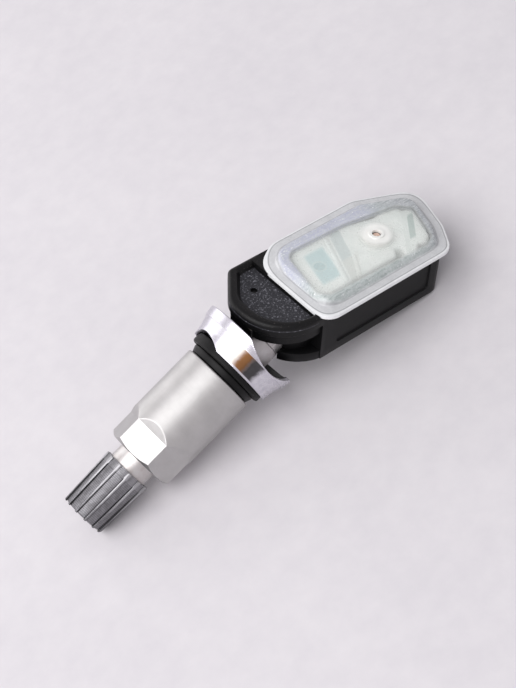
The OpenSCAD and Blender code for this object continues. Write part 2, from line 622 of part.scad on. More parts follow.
module core_plug() color([0.78, 0.65, 0.35]) in_valve() difference() {
    disc(plug_r, plug_bottom, plug_top);
    disc(core_bore, plug_bottom - over, plug_top + over);
    for (side = [-1, 1]) translate([side * (plug_r + 1.1) - plug_r, -plug_r, plug_top - 1.6])
        cube([2 * plug_r, 2 * plug_r, 1.6 + over]);
}
module core_barrel() color([0.78, 0.65, 0.35]) in_valve() rotate_extrude() polygon([
    [core_bore, core_bottom], [core_r, core_bottom], [core_r, plug_bottom - 1.6],
    [plug_r - 0.25, plug_bottom - 1.2], [plug_r - 0.25, plug_bottom], [core_bore, plug_bottom]]);
module core_gasket() color([0.75, 0.15, 0.12]) in_valve() rotate_extrude() polygon([
    [core_r, core_seat - 0.5], [core_bore_r, core_seat - 0.5], [core_bore_r, core_seat],
    [core_bore_r + 0.45, core_seat + 0.8], [core_r, core_seat + 0.8]]);
module core_pin() color([0.8, 0.68, 0.4]) in_valve() {
    disc(pin_r, core_bottom - cup_len - 1.6, plug_top + 0.15);
    disc(pin_r + 0.25, core_bottom - cup_len - 0.5, core_bottom - cup_len);
}
module core_cup() color([0.1, 0.1, 0.1]) in_valve()
    ring(cup_r, pin_r, core_bottom - cup_len, core_bottom - run_gap);
// Round wire wound as an open coil, with each ring of points square to the wire
module coil(r, wire, low, high, turns, sides = 8, steps = 14) {
    count = steps * turns;
    rise = atan((high - low) / (2 * PI * r * turns));
    rings = [for (i = [0 : count], k = [0 : sides - 1]) let (
        t = 360 * i / steps, a = 360 * k / sides, out = r + wire * cos(a), up = wire * sin(a)
    ) [out * cos(t) + up * sin(rise) * sin(t), out * sin(t) - up * sin(rise) * cos(t),
       low + (high - low) * i / count + up * cos(rise)]];
    sides_of = [for (i = [0 : count - 1], k = [0 : sides - 1]) let (
        a = i * sides + k, b = i * sides + (k + 1) % sides
    ) each [[a, b, b + sides], [a, b + sides, a + sides]]];
    ends = [[for (k = [sides - 1 : -1 : 0]) k], [for (k = [0 : sides - 1]) count * sides + k]];
    polyhedron(points = rings, faces = concat(sides_of, ends), convexity = 10);
}
module core_spring() color([0.75, 0.75, 0.75]) in_valve()
    coil(spring_r, spring_wire, air_step + 1.1 * spring_wire,
         core_bottom - cup_len - 1.1 * spring_wire, spring_turns);

module slip_ring() color([0.07, 0.07, 0.07]) in_valve() rotate_extrude() polygon([
    [sleeve_r + run_gap, bead_end], [ring_r_in - 0.15, bead_end], [ring_r_in, bead_end + 0.15],
    [ring_r_in, bead_end + 0.4], [ring_r_out, ring_end], [sleeve_r + run_gap, ring_end]]);
module flat_cut() rotate([90, 0, 0]) linear_extrude(3 * nut_r, center = true) polygon([
    [hex_af / 2, hex_start], [hex_af / 2, nut_end + over], [nut_r + over, nut_end + over],
    [nut_r + over, hex_start - hex_runout * (nut_r + over - hex_af / 2) / (nut_r - hex_af / 2)]]);
module sleeve_nut() color([0.82, 0.82, 0.83]) in_valve() difference() {
    chamfer_h = 0.75;
    bore = shank_r + run_gap;
    rotate_extrude($fn = 96) polygon([
        [sleeve_r + 0.15, nut_start], [nut_r - 0.35, nut_start], [nut_r, nut_start + 0.35],
        [nut_r, nut_end - chamfer_h], [nut_r - chamfer_h / tan(30), nut_end],
        [stem_neck_r + 0.1 + 0.35, nut_end], [stem_neck_r + 0.1, nut_end - 0.35],
        [stem_neck_r + 0.1, nut_end - nut_step_depth], [bore, nut_end - nut_step_depth - 0.5],
        [bore, nut_start + nut_counterbore], [sleeve_r + 0.15, nut_start + nut_counterbore]]);
    for (i = [0 : 5]) rotate([0, 0, -hex_turn + 60 * i]) flat_cut();
}

module cap_seal() color([0.1, 0.1, 0.1]) in_valve()
    ring(cap_thread_r, mouth_r - 0.6, stem_tip + run_gap, cap_end - cap_roof);
module rib(width, low, high, r_low, r_high, root) rotate([0, 0, -width / 2])
    rotate_extrude(angle = width, $fn = 96) polygon([
        [root, low], [r_low - 0.15, low], [r_low, low + 0.15], [r_high, high - cap_edge],
        [r_high - cap_edge, high], [root, high]]);
module valve_cap() color([0.45, 0.45, 0.46]) in_valve() difference() {
    core_open = cap_r_open - panel_in;
    core_closed = cap_r_closed - panel_in;
    collar_end = cap_start + collar_len;
    union() {
        rotate_extrude($fn = 72) polygon([
            [0, cap_start], [core_open + 0.06, cap_start], [core_open + 0.06, collar_end],
            [core_open, collar_end + 0.15], [core_closed, cap_end - 0.45], [core_closed - 0.3, cap_end - 0.15],
            [0, cap_end - 0.15]]);
        for (i = [0 : cap_ribs - 1]) rotate([0, 0, 360 / cap_ribs * i]) {
            rib(rib_deg, cap_start, cap_end, cap_r_open, cap_r_closed, cap_thread_r + 0.3);
            rib(collar_rib_deg, cap_start, collar_end, cap_r_open, cap_r_open - 0.06, cap_thread_r + 0.3);
        }
    }
    disc(cap_thread_r + run_gap, cap_start - over, cap_end - cap_roof);
    disc(stem_neck_r + 0.1, cap_start - over, stem_tip - cap_thread_len + 0.1);
}

housing();
cover();
carrier();
circuit_board();
coin_cell();
cell_tab_top();
cell_tab_bottom();
pressure_cell();
port_gasket();
sensor_chip();
chip_ring();
radio_chip();
crystal();
coil_core();
coil_winding();
loop_antenna();
capacitors();
swivel_foot();
saddle();
valve_stem();
rubber_grommet();
core_plug();
core_barrel();
core_gasket();
core_spring();
core_pin();
core_cup();
slip_ring();
sleeve_nut();
cap_seal();
valve_cap();
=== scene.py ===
import json
import math
import bpy
import bmesh
from mathutils import Matrix, Vector


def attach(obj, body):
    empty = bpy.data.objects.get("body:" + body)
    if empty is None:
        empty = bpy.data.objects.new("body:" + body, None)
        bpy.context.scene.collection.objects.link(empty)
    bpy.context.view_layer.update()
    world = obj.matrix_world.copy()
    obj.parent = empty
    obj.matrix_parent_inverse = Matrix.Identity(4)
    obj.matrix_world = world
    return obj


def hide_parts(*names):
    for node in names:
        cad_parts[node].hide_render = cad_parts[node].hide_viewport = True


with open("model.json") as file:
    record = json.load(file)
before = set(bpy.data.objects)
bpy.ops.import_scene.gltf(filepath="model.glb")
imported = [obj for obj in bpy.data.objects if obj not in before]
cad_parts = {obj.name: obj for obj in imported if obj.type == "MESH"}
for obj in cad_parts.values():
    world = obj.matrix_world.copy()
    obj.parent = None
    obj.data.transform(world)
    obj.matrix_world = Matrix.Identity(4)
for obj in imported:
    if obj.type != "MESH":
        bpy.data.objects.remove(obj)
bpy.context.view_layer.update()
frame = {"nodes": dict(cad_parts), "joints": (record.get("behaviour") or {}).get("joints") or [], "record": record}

scene = bpy.context.scene
scene.view_settings.view_transform = "Standard"
mm = 0.001

# Two working frames in millimetres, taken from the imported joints: the housing's and the valve's
fit = {"tiltDeg": 27.7, "pivotX": -3.25, "pivotZ": -7.65}
joints = {joint["name"]: joint for joint in frame["joints"]}
pivot = Vector(joints["valve_tilt"]["pos_m"])
outward = Vector(joints["ring_slide"]["axis"]).normalized()
acrossFar = -Vector(joints["valve_tilt"]["axis"]).normalized()
upward = acrossFar.cross(outward).normalized()
tilt = math.radians(fit["tiltDeg"])
tailward = -outward * math.cos(tilt) - upward * math.sin(tilt)
coverUp = upward * math.cos(tilt) - outward * math.sin(tilt)
housingOrigin = pivot - tailward * fit["pivotX"] * mm - coverUp * fit["pivotZ"] * mm


def frameMatrix(right, far, up, origin):
    turn = Matrix((right, far, up)).transposed().to_4x4()
    return Matrix.Translation(origin) @ turn @ Matrix.Scale(mm, 4)


valvePlace = frameMatrix(upward, acrossFar, outward, pivot)
housingPlace = frameMatrix(tailward, acrossFar, coverUp, housingOrigin)
print("stage: frames ready, housing origin", [round(value, 5) for value in housingOrigin])

# ---- camera, as fitted to the photograph in the housing's frame
cameraFit = {"eye": (-141.47, -146.45, 195.13), "forward": (0.46634, 0.51045, -0.72247),
             "right": (0.76611, -0.64138, 0.04135), "lens": 78.13}
turnOnly = housingPlace.to_3x3().normalized()
lookDir = (turnOnly @ Vector(cameraFit["forward"])).normalized()
rightDir = (turnOnly @ Vector(cameraFit["right"])).normalized()
topDir = rightDir.cross(lookDir).normalized()
cameraData = bpy.data.cameras.new("studioCamera")
cameraData.lens = cameraFit["lens"]
cameraData.sensor_width = 36
cameraData.clip_start = 0.01
cameraData.clip_end = 10
camera = bpy.data.objects.new("studioCamera", cameraData)
camera.matrix_world = Matrix.Translation(housingPlace @ Vector(cameraFit["eye"])) @ \
    Matrix((rightDir, topDir, -lookDir)).transposed().to_4x4()
scene.collection.objects.link(camera)
scene.camera = camera


# ---- materials: a wrapped socket with arithmetic
def linear(red, green, blue):
    def one(value):
        share = value / 255
        return share / 12.92 if share <= 0.04045 else ((share + 0.055) / 1.055) ** 2.4
    return (one(red), one(green), one(blue), 1.0)


class Wire:
    def __init__(self, tree, socket):
        self.tree = tree
        self.socket = socket

    def make(self, kind, settings=None, values=None, output=0):
        node = self.tree.nodes.new(kind)
        for key, value in (settings or {}).items():
            if key == "stops":
                ramp = node.color_ramp
                while len(ramp.elements) < len(value):
                    ramp.elements.new(0.5)
                for element, (place, colour) in zip(ramp.elements, value):
                    element.position = place
                    element.color = colour if isinstance(colour, tuple) else (colour, colour, colour, 1)
            else:
                setattr(node, key, value)
        for key, value in (values or {}).items():
            if isinstance(value, Wire):
                self.tree.links.new(value.socket, node.inputs[key])
            else:
                node.inputs[key].default_value = value
        return Wire(self.tree, node.outputs[output])

    def maths(self, operation, first, second=0.0):
        return self.make("ShaderNodeMath", {"operation": operation}, {0: first, 1: second})

    def __add__(self, other): return self.maths("ADD", self, other)
    def __radd__(self, other): return self.maths("ADD", other, self)
    def __sub__(self, other): return self.maths("SUBTRACT", self, other)
    def __rsub__(self, other): return self.maths("SUBTRACT", other, self)
    def __mul__(self, other): return self.maths("MULTIPLY", self, other)
    def __rmul__(self, other): return self.maths("MULTIPLY", other, self)
    def __pow__(self, other): return self.maths("POWER", self, other)
    def __abs__(self): return self.maths("ABSOLUTE", self)

    def least(self, other, soft):
        return self.make("ShaderNodeMath", {"operation": "SMOOTH_MIN"}, {0: self, 1: other, 2: soft})

    def sine(self): return self.maths("SINE", self)

    def smooth(self, low, high, start=0.0, end=1.0):
        return self.make("ShaderNodeMapRange", {"interpolation_type": "SMOOTHSTEP"},
                         {0: self, 1: low, 2: high, 3: start, 4: end})

    def remap(self, low, high, start=0.0, end=1.0):
        return self.make("ShaderNodeMapRange", None, {0: self, 1: low, 2: high, 3: start, 4: end})

    def band(self, low, high, soft):
        return self.smooth(low - soft, low + soft) * (1 - self.smooth(high - soft, high + soft))

    def blend(self, first, second):
        return self.make("ShaderNodeMix", {"data_type": "RGBA"}, {0: self, 6: first, 7: second}, output=2)

    def dot(self, direction):
        return self.make("ShaderNodeVectorMath", {"operation": "DOT_PRODUCT"}, {0: self, 1: direction}, output=1)

    def minus(self, other):
        return self.make("ShaderNodeVectorMath", {"operation": "SUBTRACT"}, {0: self, 1: other})

    def cloud(self, scale, detail=3.0, rough=0.55):
        return self.make("ShaderNodeTexNoise", None, {"Vector": self, "Scale": scale, "Detail": detail,
                                                      "Roughness": rough})

    def bump(self, strength, distance):
        return self.make("ShaderNodeBump", None, {"Height": self, "Strength": strength, "Distance": distance * mm})


# Place of a point in millimetres in one of the two frames, from Object coordinates
class Place:
    def __init__(self, point, matrix):
        turn = matrix.to_3x3().normalized()
        here = point.minus(tuple(matrix.translation))
        self.x = here.dot(tuple(turn.col[0])) * 1000
        self.y = here.dot(tuple(turn.col[1])) * 1000
        self.z = here.dot(tuple(turn.col[2])) * 1000
        self.vector = point.make("ShaderNodeCombineXYZ", None, {0: self.x, 1: self.y, 2: self.z})
        self.radius = (self.x * self.x + self.y * self.y) ** 0.5
        self.angle = point.maths("ARCTAN2", self.y, self.x)

    def spot(self, x, y):
        return ((self.x - x) * (self.x - x) + (self.y - y) * (self.y - y)) ** 0.5

    # How far a point lies in from a convex outline with rounded corners, after a shift of the outline
    def inside(self, corners, radii, shiftX=0.0, shiftY=0.0):
        edges, found = [], None
        for index, (x, y) in enumerate(corners):
            nextX, nextY = corners[(index + 1) % len(corners)]
            size = math.hypot(nextX - x, nextY - y)
            edges.append(((nextY - y) / size, (x - nextX) / size))
        softs = [6 * radius * (1 - math.sqrt((1 + edges[index][0] * edges[index - 1][0] +
                                              edges[index][1] * edges[index - 1][1]) / 2))
                 for index, radius in enumerate(radii)]
        softs[-1] = max(softs[-1], softs[0])
        for (x, y), (outX, outY), soft in zip(corners, edges, softs):
            gap = ((x + shiftX) * outX + (y + shiftY) * outY) - (self.x * outX + self.y * outY)
            found = gap if found is None else found.least(gap, max(soft, 0.05))
        return found


def newMaterial(name, paint, **constants):
    material = bpy.data.materials.new(name)
    material.use_nodes = True
    tree = material.node_tree
    shader = tree.nodes["Principled BSDF"]
    for key, value in constants.items():
        shader.inputs[key.replace("_", " ")].default_value = value
    point = Wire(tree, tree.nodes.new("ShaderNodeTexCoord").outputs["Object"])
    for key, value in paint(point).items():
        slot = shader.inputs[key.replace("_", " ")]
        if isinstance(value, Wire):
            tree.links.new(value.socket, slot)
        else:
            slot.default_value = value
    return material


degree = math.pi / 180


# Fine lines left by the lathe, close along the axis and long round it
def turnedLines(at, along, around, across=1.0):
    spread = at.z.make("ShaderNodeCombineXYZ", None, {0: at.z * along, 1: at.angle * around, 2: at.radius * across})
    return spread.cloud(3.0, 4.0, 0.7)


def nutPaint(point):
    at = Place(point, valvePlace)
    lines = turnedLines(at, 9, 0.35, 2)
    grain = at.vector.cloud(9.0, 3.0)
    cloudy = at.vector.cloud(0.35, 2.0)
    onHex = at.z.smooth(30.6, 31.8)
    colour = (lines * 0.5 + cloudy * 0.5).remap(0.3, 0.7).blend(linear(176, 175, 174), linear(192, 191, 190))
    rough = 0.37 + 0.1 * lines + 0.06 * grain - 0.09 * onHex
    return {"Base_Color": colour, "Roughness": rough,
            "Normal": (lines * 0.7 + grain * 0.3).bump(0.35, 0.02)}


def stemPaint(point):
    at = Place(point, valvePlace)
    lines = turnedLines(at, 12, 0.4)
    stainAndReflection = at.vector.cloud(0.5, 3.0)
    colour = stainAndReflection.remap(0.35, 0.7).blend(linear(200, 198, 197), linear(186, 180, 177))
    return {"Base_Color": colour, "Roughness": 0.32 + 0.14 * lines, "Normal": lines.bump(0.4, 0.02)}


def footPaint(point):
    at = Place(point, valvePlace)
    grain = at.vector.cloud(4.0, 5.0, 0.6)
    stainAndReflection = at.vector.cloud(0.5, 3.0)
    # brownish where the casting meets the housing
    warm = (1 - at.z.smooth(5.0, 6.6)) * at.x.smooth(2.5, 4.2) * at.y.smooth(-2.6, -0.6)
    plain = stainAndReflection.remap(0.35, 0.7).blend(linear(206, 203, 204), linear(192, 187, 187))
    colour = (warm * 0.8).blend(plain, linear(158, 124, 100))
    return {"Base_Color": colour, "Roughness": 0.42 + 0.12 * grain, "Normal": grain.bump(0.2, 0.03)}


# Plated saddle, with cream, brown and dark painted reflections round the wall beside the rubber, and painted shade
# inside its hollow
saddlePaintedLight = {"start": 9.3, "end": 12.8, "creamDeg": -24.0, "creamSpread": 15.0, "brownDeg": -40.0, "brownSpread": 13.0,
           "darkDeg": -54.0, "darkSpread": 13.0, "hollowRadius": 9.4, "hollowEnd": 9.6}


def nickelPaint(point):
    at = Place(point, valvePlace)
    haze = at.vector.cloud(0.9, 3.0)
    fine = at.vector.cloud(11.0, 2.0)
    degrees = at.angle * (1 / degree) + (haze - 0.5) * 9
    onWall = at.z.band(saddlePaintedLight["start"], saddlePaintedLight["end"], 0.1) * at.radius.smooth(8.6, 8.9)

    # painted reflection: cream, brown and dark patches by angle round the wall
    def stainAndReflection(name, core):
        return onWall * (1 - abs(degrees - saddlePaintedLight[name + "Deg"]).smooth(core, saddlePaintedLight[name + "Spread"]))

    plain = haze.remap(0.35, 0.7).blend(linear(214, 213, 219), linear(200, 198, 207))
    colour = (stainAndReflection("cream", 4.0) * 0.6).blend(plain, linear(206, 202, 186))
    colour = (stainAndReflection("brown", 3.0) * 0.96).blend(colour, linear(124, 82, 38))
    colour = (stainAndReflection("dark", 4.0) * 0.92).blend(colour, linear(48, 47, 46))
    # painted shade darkening the inside of the flange
    hollow = 1 - at.radius.smooth(saddlePaintedLight["hollowRadius"], saddlePaintedLight["hollowRadius"] + 0.3)
    hollow = hollow * (1 - at.z.smooth(saddlePaintedLight["hollowEnd"], saddlePaintedLight["hollowEnd"] + 0.3))
    colour = hollow.blend(colour, linear(11, 11, 12))
    dull = onWall * degrees.smooth(-62, -40) * (1 - degrees.smooth(-30, -16))
    rough = 0.2 + 0.1 * haze + 0.05 * fine + 0.3 * hollow + 0.2 * dull
    return {"Base_Color": colour, "Roughness": rough, "Metallic": 1 - hollow * 0.9,
            "Normal": (fine + haze * onWall * 1.5).bump(0.12, 0.012)}


# Dust cap: grey plastic with a metallic look, fine cross lines between its ribs, painted shade beside the ribs and a
# painted highlight on their tops
cap = {"start": 40.5, "end": 52.6, "radiusOpen": 5.2, "radiusClosed": 4.72, "ribs": 12, "ribTurn": -12.0,
       "panelIn": 0.42, "ribDeg": 6.5, "collarRibDeg": 10.0, "collar": 1.5, "bore": 3.85,
       "mouthBore": 4.3, "edge": 0.2}


def capPaint(point):
    at = Place(point, valvePlace)
    grain = at.vector.cloud(6.0, 4.0)
    wear = at.vector.cloud(1.1, 3.0)
    lines = (at.z * 17 + grain * 1.6).sine()     # fine cross lines on the panels
    panel = 1 - at.radius.smooth(4.7, 4.95)
    pitch = 360 / cap["ribs"]
    turned = at.angle * (1 / degree) - cap["ribTurn"] + pitch / 2
    fromRib = abs(at.angle.maths("FLOORED_MODULO", turned, pitch) - pitch / 2)
    ribShade = fromRib.band(cap["ribDeg"] * 0.42, cap["ribDeg"] * 0.5 + 1.5, 0.5)     # painted shade beside each rib
    colour = wear.remap(0.35, 0.65).blend(linear(112, 111, 114), linear(136, 135, 139))
    colour = (lines.smooth(0.1, 0.9) * panel * 0.45).blend(colour, linear(74, 73, 76))
    colour = (ribShade * 0.75).blend(colour, linear(34, 33, 34))
    # painted highlight on the rib tops
    colour = (at.radius.smooth(4.78, 5.0) * 0.5).blend(colour, linear(196, 195, 198))
    rough = 0.26 + 0.14 * grain
    return {"Base_Color": colour, "Roughness": rough,
            "Normal": (lines * panel * -0.9 + grain * 0.4).bump(0.4, 0.06)}


def rubberPaint(point):
    grain = point.cloud(1800.0, 4.0)
    dust = point.cloud(420.0, 3.0)
    colour = dust.remap(0.55, 0.85).blend(linear(8, 8, 9), linear(24, 23, 23))
    return {"Base_Color": colour, "Roughness": 0.4 + 0.2 * grain, "Normal": grain.bump(0.2, 0.03)}


def ringPaint(point):
    grain = point.cloud(2200.0, 3.0)
    colour = grain.remap(0.45, 0.75).blend(linear(5, 5, 6), linear(14, 14, 14))
    return {"Base_Color": colour, "Roughness": 0.34 + 0.16 * grain, "Normal": grain.bump(0.2, 0.02)}


def housingPaint(point):
    at = Place(point, housingPlace)
    inPocket = at.z.band(-1.62, -1.38, 0.03) * (1 - at.x.smooth(-2.2, -2.1))
    fine = at.vector.cloud(7.0, 4.0, 0.6)
    broad = at.vector.cloud(0.5, 3.0)
    pepper = at.vector.cloud(3.0, 2.0, 0.7)
    onNose = (1 - at.x.smooth(-0.9, -0.6)) * at.z.smooth(-3.3, -3.2)
    lipHighlight = at.z.band(-3.13, -2.9, 0.05) * (1 - at.x.smooth(-1.4, -1.0))     # painted highlight: a bright line along the lip's edge
    # painted sheen: the lip's highlight line and light specks on the nose's rim crest
    paintedSheen = (lipHighlight + pepper.smooth(0.62, 0.72) * onNose * at.z.smooth(-1.1, -0.9) * 0.5) * 0.6
    speck = (pepper.smooth(0.56, 0.7) * 0.85 + fine.smooth(0.6, 0.72) * 0.4) * inPocket
    moulded = (fine * 0.6 + broad * 0.4).remap(0.35, 0.7).blend(linear(8, 8, 9), linear(17, 17, 18))
    floor = fine.remap(0.35, 0.7).blend(linear(36, 36, 40), linear(60, 60, 65))
    colour = paintedSheen.blend(speck.blend(inPocket.blend(moulded, floor), linear(150, 149, 158)), linear(120, 113, 110))
    rough = 0.3 + 0.1 * fine + 0.22 * inPocket + 0.12 * (1 - onNose)
    return {"Base_Color": colour, "Roughness": rough,
            "Normal": (fine * (0.25 + 0.3 * inPocket) + pepper * (0.15 + inPocket)).bump(0.35, 0.07)}


# Where the clear cover is milky, frosted or clear, as outlines in the housing's frame
coverLook = {"flange": [(-2.0, -12.0), (30.72, -12.0), (34.19, -6.24), (37.67, 4.95), (24.64, 10.5), (3.5, 10.5),
                        (-2.0, 7.09)],
             "flangeRadii": [3.6, 3.8, 8, 4.4, 6, 6.5, 5.5],
             "window": [(1.5, -5.4), (3.4, -7.3), (27.5, -8.2), (30.1, -7.2), (33.0, 1.5), (30.6, 4.0), (18.5, 6.2),
                        (5.6, 6.6), (3.6, 5.6)],
             "windowRadii": [2, 2, 2, 2, 1.5, 1.5, 5, 2, 2], "lean": (-0.84, -0.92), "port": (20.9, -0.9)}


def coverPaint(point):
    at = Place(point, housingPlace)
    waves = at.vector.cloud(0.3, 2.0)
    frost = at.vector.cloud(2.4, 5.0, 0.7)
    patches = at.vector.cloud(0.5, 3.0)
    specks = at.vector.cloud(3.4, 2.0, 0.6).smooth(0.6, 0.68) * patches.smooth(0.42, 0.6)
    streaks = at.z.make("ShaderNodeCombineXYZ", None, {0: at.x * 0.5, 1: at.y * 2.6, 2: at.z}).cloud(1.0, 3.0, 0.6)
    fromEdge = at.inside(coverLook["flange"], coverLook["flangeRadii"]) + 0.12 * waves
    window = at.inside(coverLook["window"], coverLook["windowRadii"], *coverLook["lean"])
    window = (window + 0.35 * (frost - 0.5)).smooth(-0.3, 0.5)
    onFlange = 1 - fromEdge.smooth(2.0, 2.5)
    towardFar = at.y.smooth(-6.0, 1.0) * (1 - at.x.smooth(22.0, 29.0))
    towardTail = at.x.smooth(24.0, 31.0)
    ring = towardTail.blend(towardFar.blend(linear(196, 205, 203), linear(202, 204, 222)), linear(188, 191, 196))
    ring = ((frost * 0.6 + streaks * 0.4).smooth(0.42, 0.62) * 0.7).blend(ring, linear(226, 229, 231))
    ring = (streaks.band(0.3, 0.42, 0.03) * (1 - towardFar) * 0.4).blend(ring, linear(150, 158, 158))
    ring = (specks * 0.95).blend(ring, linear(252, 253, 253))
    milk = (frost * 0.6 + waves * 0.4).remap(0.3, 0.7).blend(linear(204, 204, 207), linear(226, 226, 228))
    # painted highlight: a whiter band along the flange's edge; painted shade: darker lines inside it
    line = fromEdge.band(0.5, 0.66, 0.05) + fromEdge.band(1.95, 2.2, 0.1) * 0.7
    milk = fromEdge.band(-1.0, 0.42, 0.08).blend(milk, linear(246, 246, 248))
    milk = (line * 0.6).blend(milk, linear(132, 133, 136))
    boss = 1 - at.spot(*coverLook["port"]).smooth(2.3, 3.7)
    clear = patches.remap(0.35, 0.65).blend(linear(244, 248, 245), linear(250, 251, 248))
    colour = boss.blend(window.blend(onFlange.blend(ring, milk), clear), linear(255, 254, 251))
    alpha = onFlange * 0.1 + 0.84 - 0.6 * window + 0.1 * specks
    alpha = alpha + boss * (0.9 - alpha)
    return {"Base_Color": colour, "Roughness": 0.1 + 0.16 * frost.smooth(0.4, 0.75), "Alpha": alpha,
            "Normal": (waves * 2.0 + frost * 0.16 + streaks * 0.5 * (1 - window)).bump(0.45, 0.4)}


# Pale details moulded into the carrier, measured in the housing's frame
carrierLook = {"square": (7.4, -0.45, 2.45, 4.2), "ring": (6.75, -0.22, 1.15, 1.45), "strap": (10.9, 0.41),
               "shortStrap": (15.05, -1.6, 0.75), "tailStrap": (30.4, 1.35, 0.78)}


def carrierPaint(point):
    at = Place(point, housingPlace)
    milk = at.vector.cloud(0.35, 3.0)
    fine = at.vector.cloud(4.0, 3.0)
    colour = milk.remap(0.35, 0.65).blend(linear(244, 248, 245), linear(253, 254, 252))
    middleX, middleY, halfX, halfY = carrierLook["square"]
    skewed = abs(at.x - middleX - 0.27 * (at.y - middleY))
    square = 1 - skewed.smooth(halfX - 0.6, halfX + 0.4)
    square = square * (1 - abs(at.y - middleY).smooth(halfY - 0.8, halfY + 0.5))
    colour = square.blend(colour, linear(190, 217, 220))
    ringX, ringY, ringIn, ringOut = carrierLook["ring"]
    fromRing = at.spot(ringX, ringY)
    colour = (1 - fromRing.smooth(ringIn - 0.1, ringIn + 0.1)).blend(colour, linear(170, 200, 203))
    colour = fromRing.band(ringIn, ringOut, 0.12).blend(colour, linear(206, 223, 222))
    strapX, strapLean = carrierLook["strap"]
    fromStrap = at.x - strapX - strapLean * at.y
    recess, farHalf = fromStrap.band(1.0, 3.6, 0.25), at.y.smooth(-2.2, -1.4)
    colour = (recess * farHalf).blend(colour, linear(208, 217, 217))
    colour = (recess * (1 - farHalf) * 0.6).blend(colour, linear(204, 206, 201))
    colour = (1 - abs(fromStrap).smooth(0.55, 0.95)).blend(colour, linear(240, 243, 241))
    shortX, shortY, shortLean = carrierLook["shortStrap"]
    fromShort = abs(at.x - shortX - shortLean * (at.y - shortY))
    colour = ((1 - fromShort.smooth(0.35, 0.7)) * (1 - at.y.smooth(-1.6, -1.0))).blend(colour, linear(238, 240, 236))
    tailX, tailY, tailLean = carrierLook["tailStrap"]
    fromTail = at.x - tailX - tailLean * (at.y - tailY)
    colour = (fromTail.band(0.75, 2.35, 0.15) * at.y.band(-5.2, 0.2, 0.4)).blend(colour, linear(176, 194, 189))
    colour = (1 - abs(fromTail).smooth(0.45, 0.75)).blend(colour, linear(236, 240, 237))
    return {"Base_Color": colour, "Roughness": 0.4 + 0.1 * fine, "Normal": fine.bump(0.15, 0.05)}


# Copper-coloured face of the pressure cell, with painted shade darkening its edge and with one small vent
def cellPaint(point):
    at = Place(point, housingPlace)
    fine = at.vector.cloud(9.0, 3.0)
    out = at.spot(*coverLook["port"])
    vent = 1 - at.spot(coverLook["port"][0] + 0.05, coverLook["port"][1] - 0.45).smooth(0.1, 0.17)
    face = fine.remap(0.35, 0.65).blend(linear(214, 176, 156), linear(238, 214, 200))
    # painted shade round the edge of the face
    colour = out.smooth(0.62, 0.74).blend(face, linear(58, 30, 20))
    return {"Base_Color": vent.blend(colour, linear(30, 18, 14)), "Roughness": 0.42 + 0.15 * fine,
            "Normal": fine.bump(0.2, 0.02)}


def boardPaint(point):
    at = Place(point, housingPlace)
    weave = at.vector.cloud(3.0, 2.0)
    colour = weave.remap(0.3, 0.7).blend(linear(20, 74, 54), linear(36, 98, 72))
    return {"Base_Color": colour, "Roughness": 0.35 + 0.1 * weave, "Normal": weave.bump(0.2, 0.03)}


def plainPaint(dark, light, scale, rough, spread, height=0.02, strength=0.25):
    def paint(point):
        grain = point.cloud(scale, 4.0, 0.6)
        return {"Base_Color": grain.remap(0.35, 0.65).blend(linear(*dark), linear(*light)),
                "Roughness": rough + spread * grain, "Normal": grain.bump(strength, height)}
    return paint


materials = {
    "housing_plastic": newMaterial("blackSatinPlastic", housingPaint, Specular_IOR_Level=0.2),
    "cover_plastic": newMaterial("clearWavyPlastic", coverPaint, Specular_IOR_Level=0.7),
    "carrier_plastic": newMaterial("milkyGreenPlastic", carrierPaint, Specular_IOR_Level=0.5),
    "board": newMaterial("greenBoard", boardPaint, Specular_IOR_Level=0.5),
    "cell_steel": newMaterial("plainSteel", plainPaint((176, 177, 178), (206, 206, 206), 700, 0.28, 0.14),
                              Metallic=1.0),
    "contact_tin": newMaterial("tinnedStrip", plainPaint((190, 186, 174), (214, 211, 200), 900, 0.3, 0.15),
                               Metallic=1.0),
    "copper": newMaterial("copperFace", cellPaint, Metallic=0.25),
    "pale_rubber": newMaterial("whiteSilicone", plainPaint((240, 241, 238), (252, 252, 250), 600, 0.45, 0.15)),
    "chip_plastic": newMaterial("chipPackage", plainPaint((36, 36, 38), (58, 58, 60), 900, 0.45, 0.15)),
    "window_plastic": newMaterial("blueGreenResin", plainPaint((182, 206, 207), (204, 222, 222), 500, 0.3, 0.1)),
    "ferrite": newMaterial("darkFerrite", plainPaint((40, 40, 42), (60, 60, 62), 900, 0.5, 0.2)),
    "bright_nickel": newMaterial("brightNickel", nickelPaint),
    "cast_metal": newMaterial("castFootMetal", footPaint, Metallic=0.6),
    "stem_metal": newMaterial("turnedStemMetal", stemPaint, Metallic=1.0),
    "nut_metal": newMaterial("satinNutMetal", nutPaint, Metallic=1.0),
    "black_rubber": newMaterial("blackRubber", rubberPaint, Specular_IOR_Level=0.2),
    "ring_plastic": newMaterial("blackRingPlastic", ringPaint, Specular_IOR_Level=0.2),
    "core_brass": newMaterial("coreBrass", plainPaint((196, 164, 98), (222, 192, 124), 1500, 0.28, 0.15),
                              Metallic=1.0),
    "core_seal": newMaterial("redCoreSeal", plainPaint((150, 36, 28), (182, 52, 42), 1500, 0.4, 0.2)),
    "cap_plastic": newMaterial("greyCapPlastic", capPaint, Metallic=0.7),
}
for entry in frame["record"]["subparts"]:
    node = frame["nodes"][entry["node"]]
    node.data.materials.clear()
    node.data.materials.append(materials[entry["material_slot"]])
print("stage: materials ready,", len(materials))


# ---- mesh helpers, all in millimetres of one frame until the piece is placed
def unit(vector):
    size = math.hypot(*vector)
    return (vector[0] / size, vector[1] / size)


def swingAt(points, index):
    here, before, after = points[index], points[index - 1], points[(index + 1) % len(points)]
    first = unit((here[0] - before[0], here[1] - before[1]))
    second = unit((after[0] - here[0], after[1] - here[1]))
    return math.atan2(first[0] * second[1] - first[1] * second[0], first[0] * second[0] + first[1] * second[1])


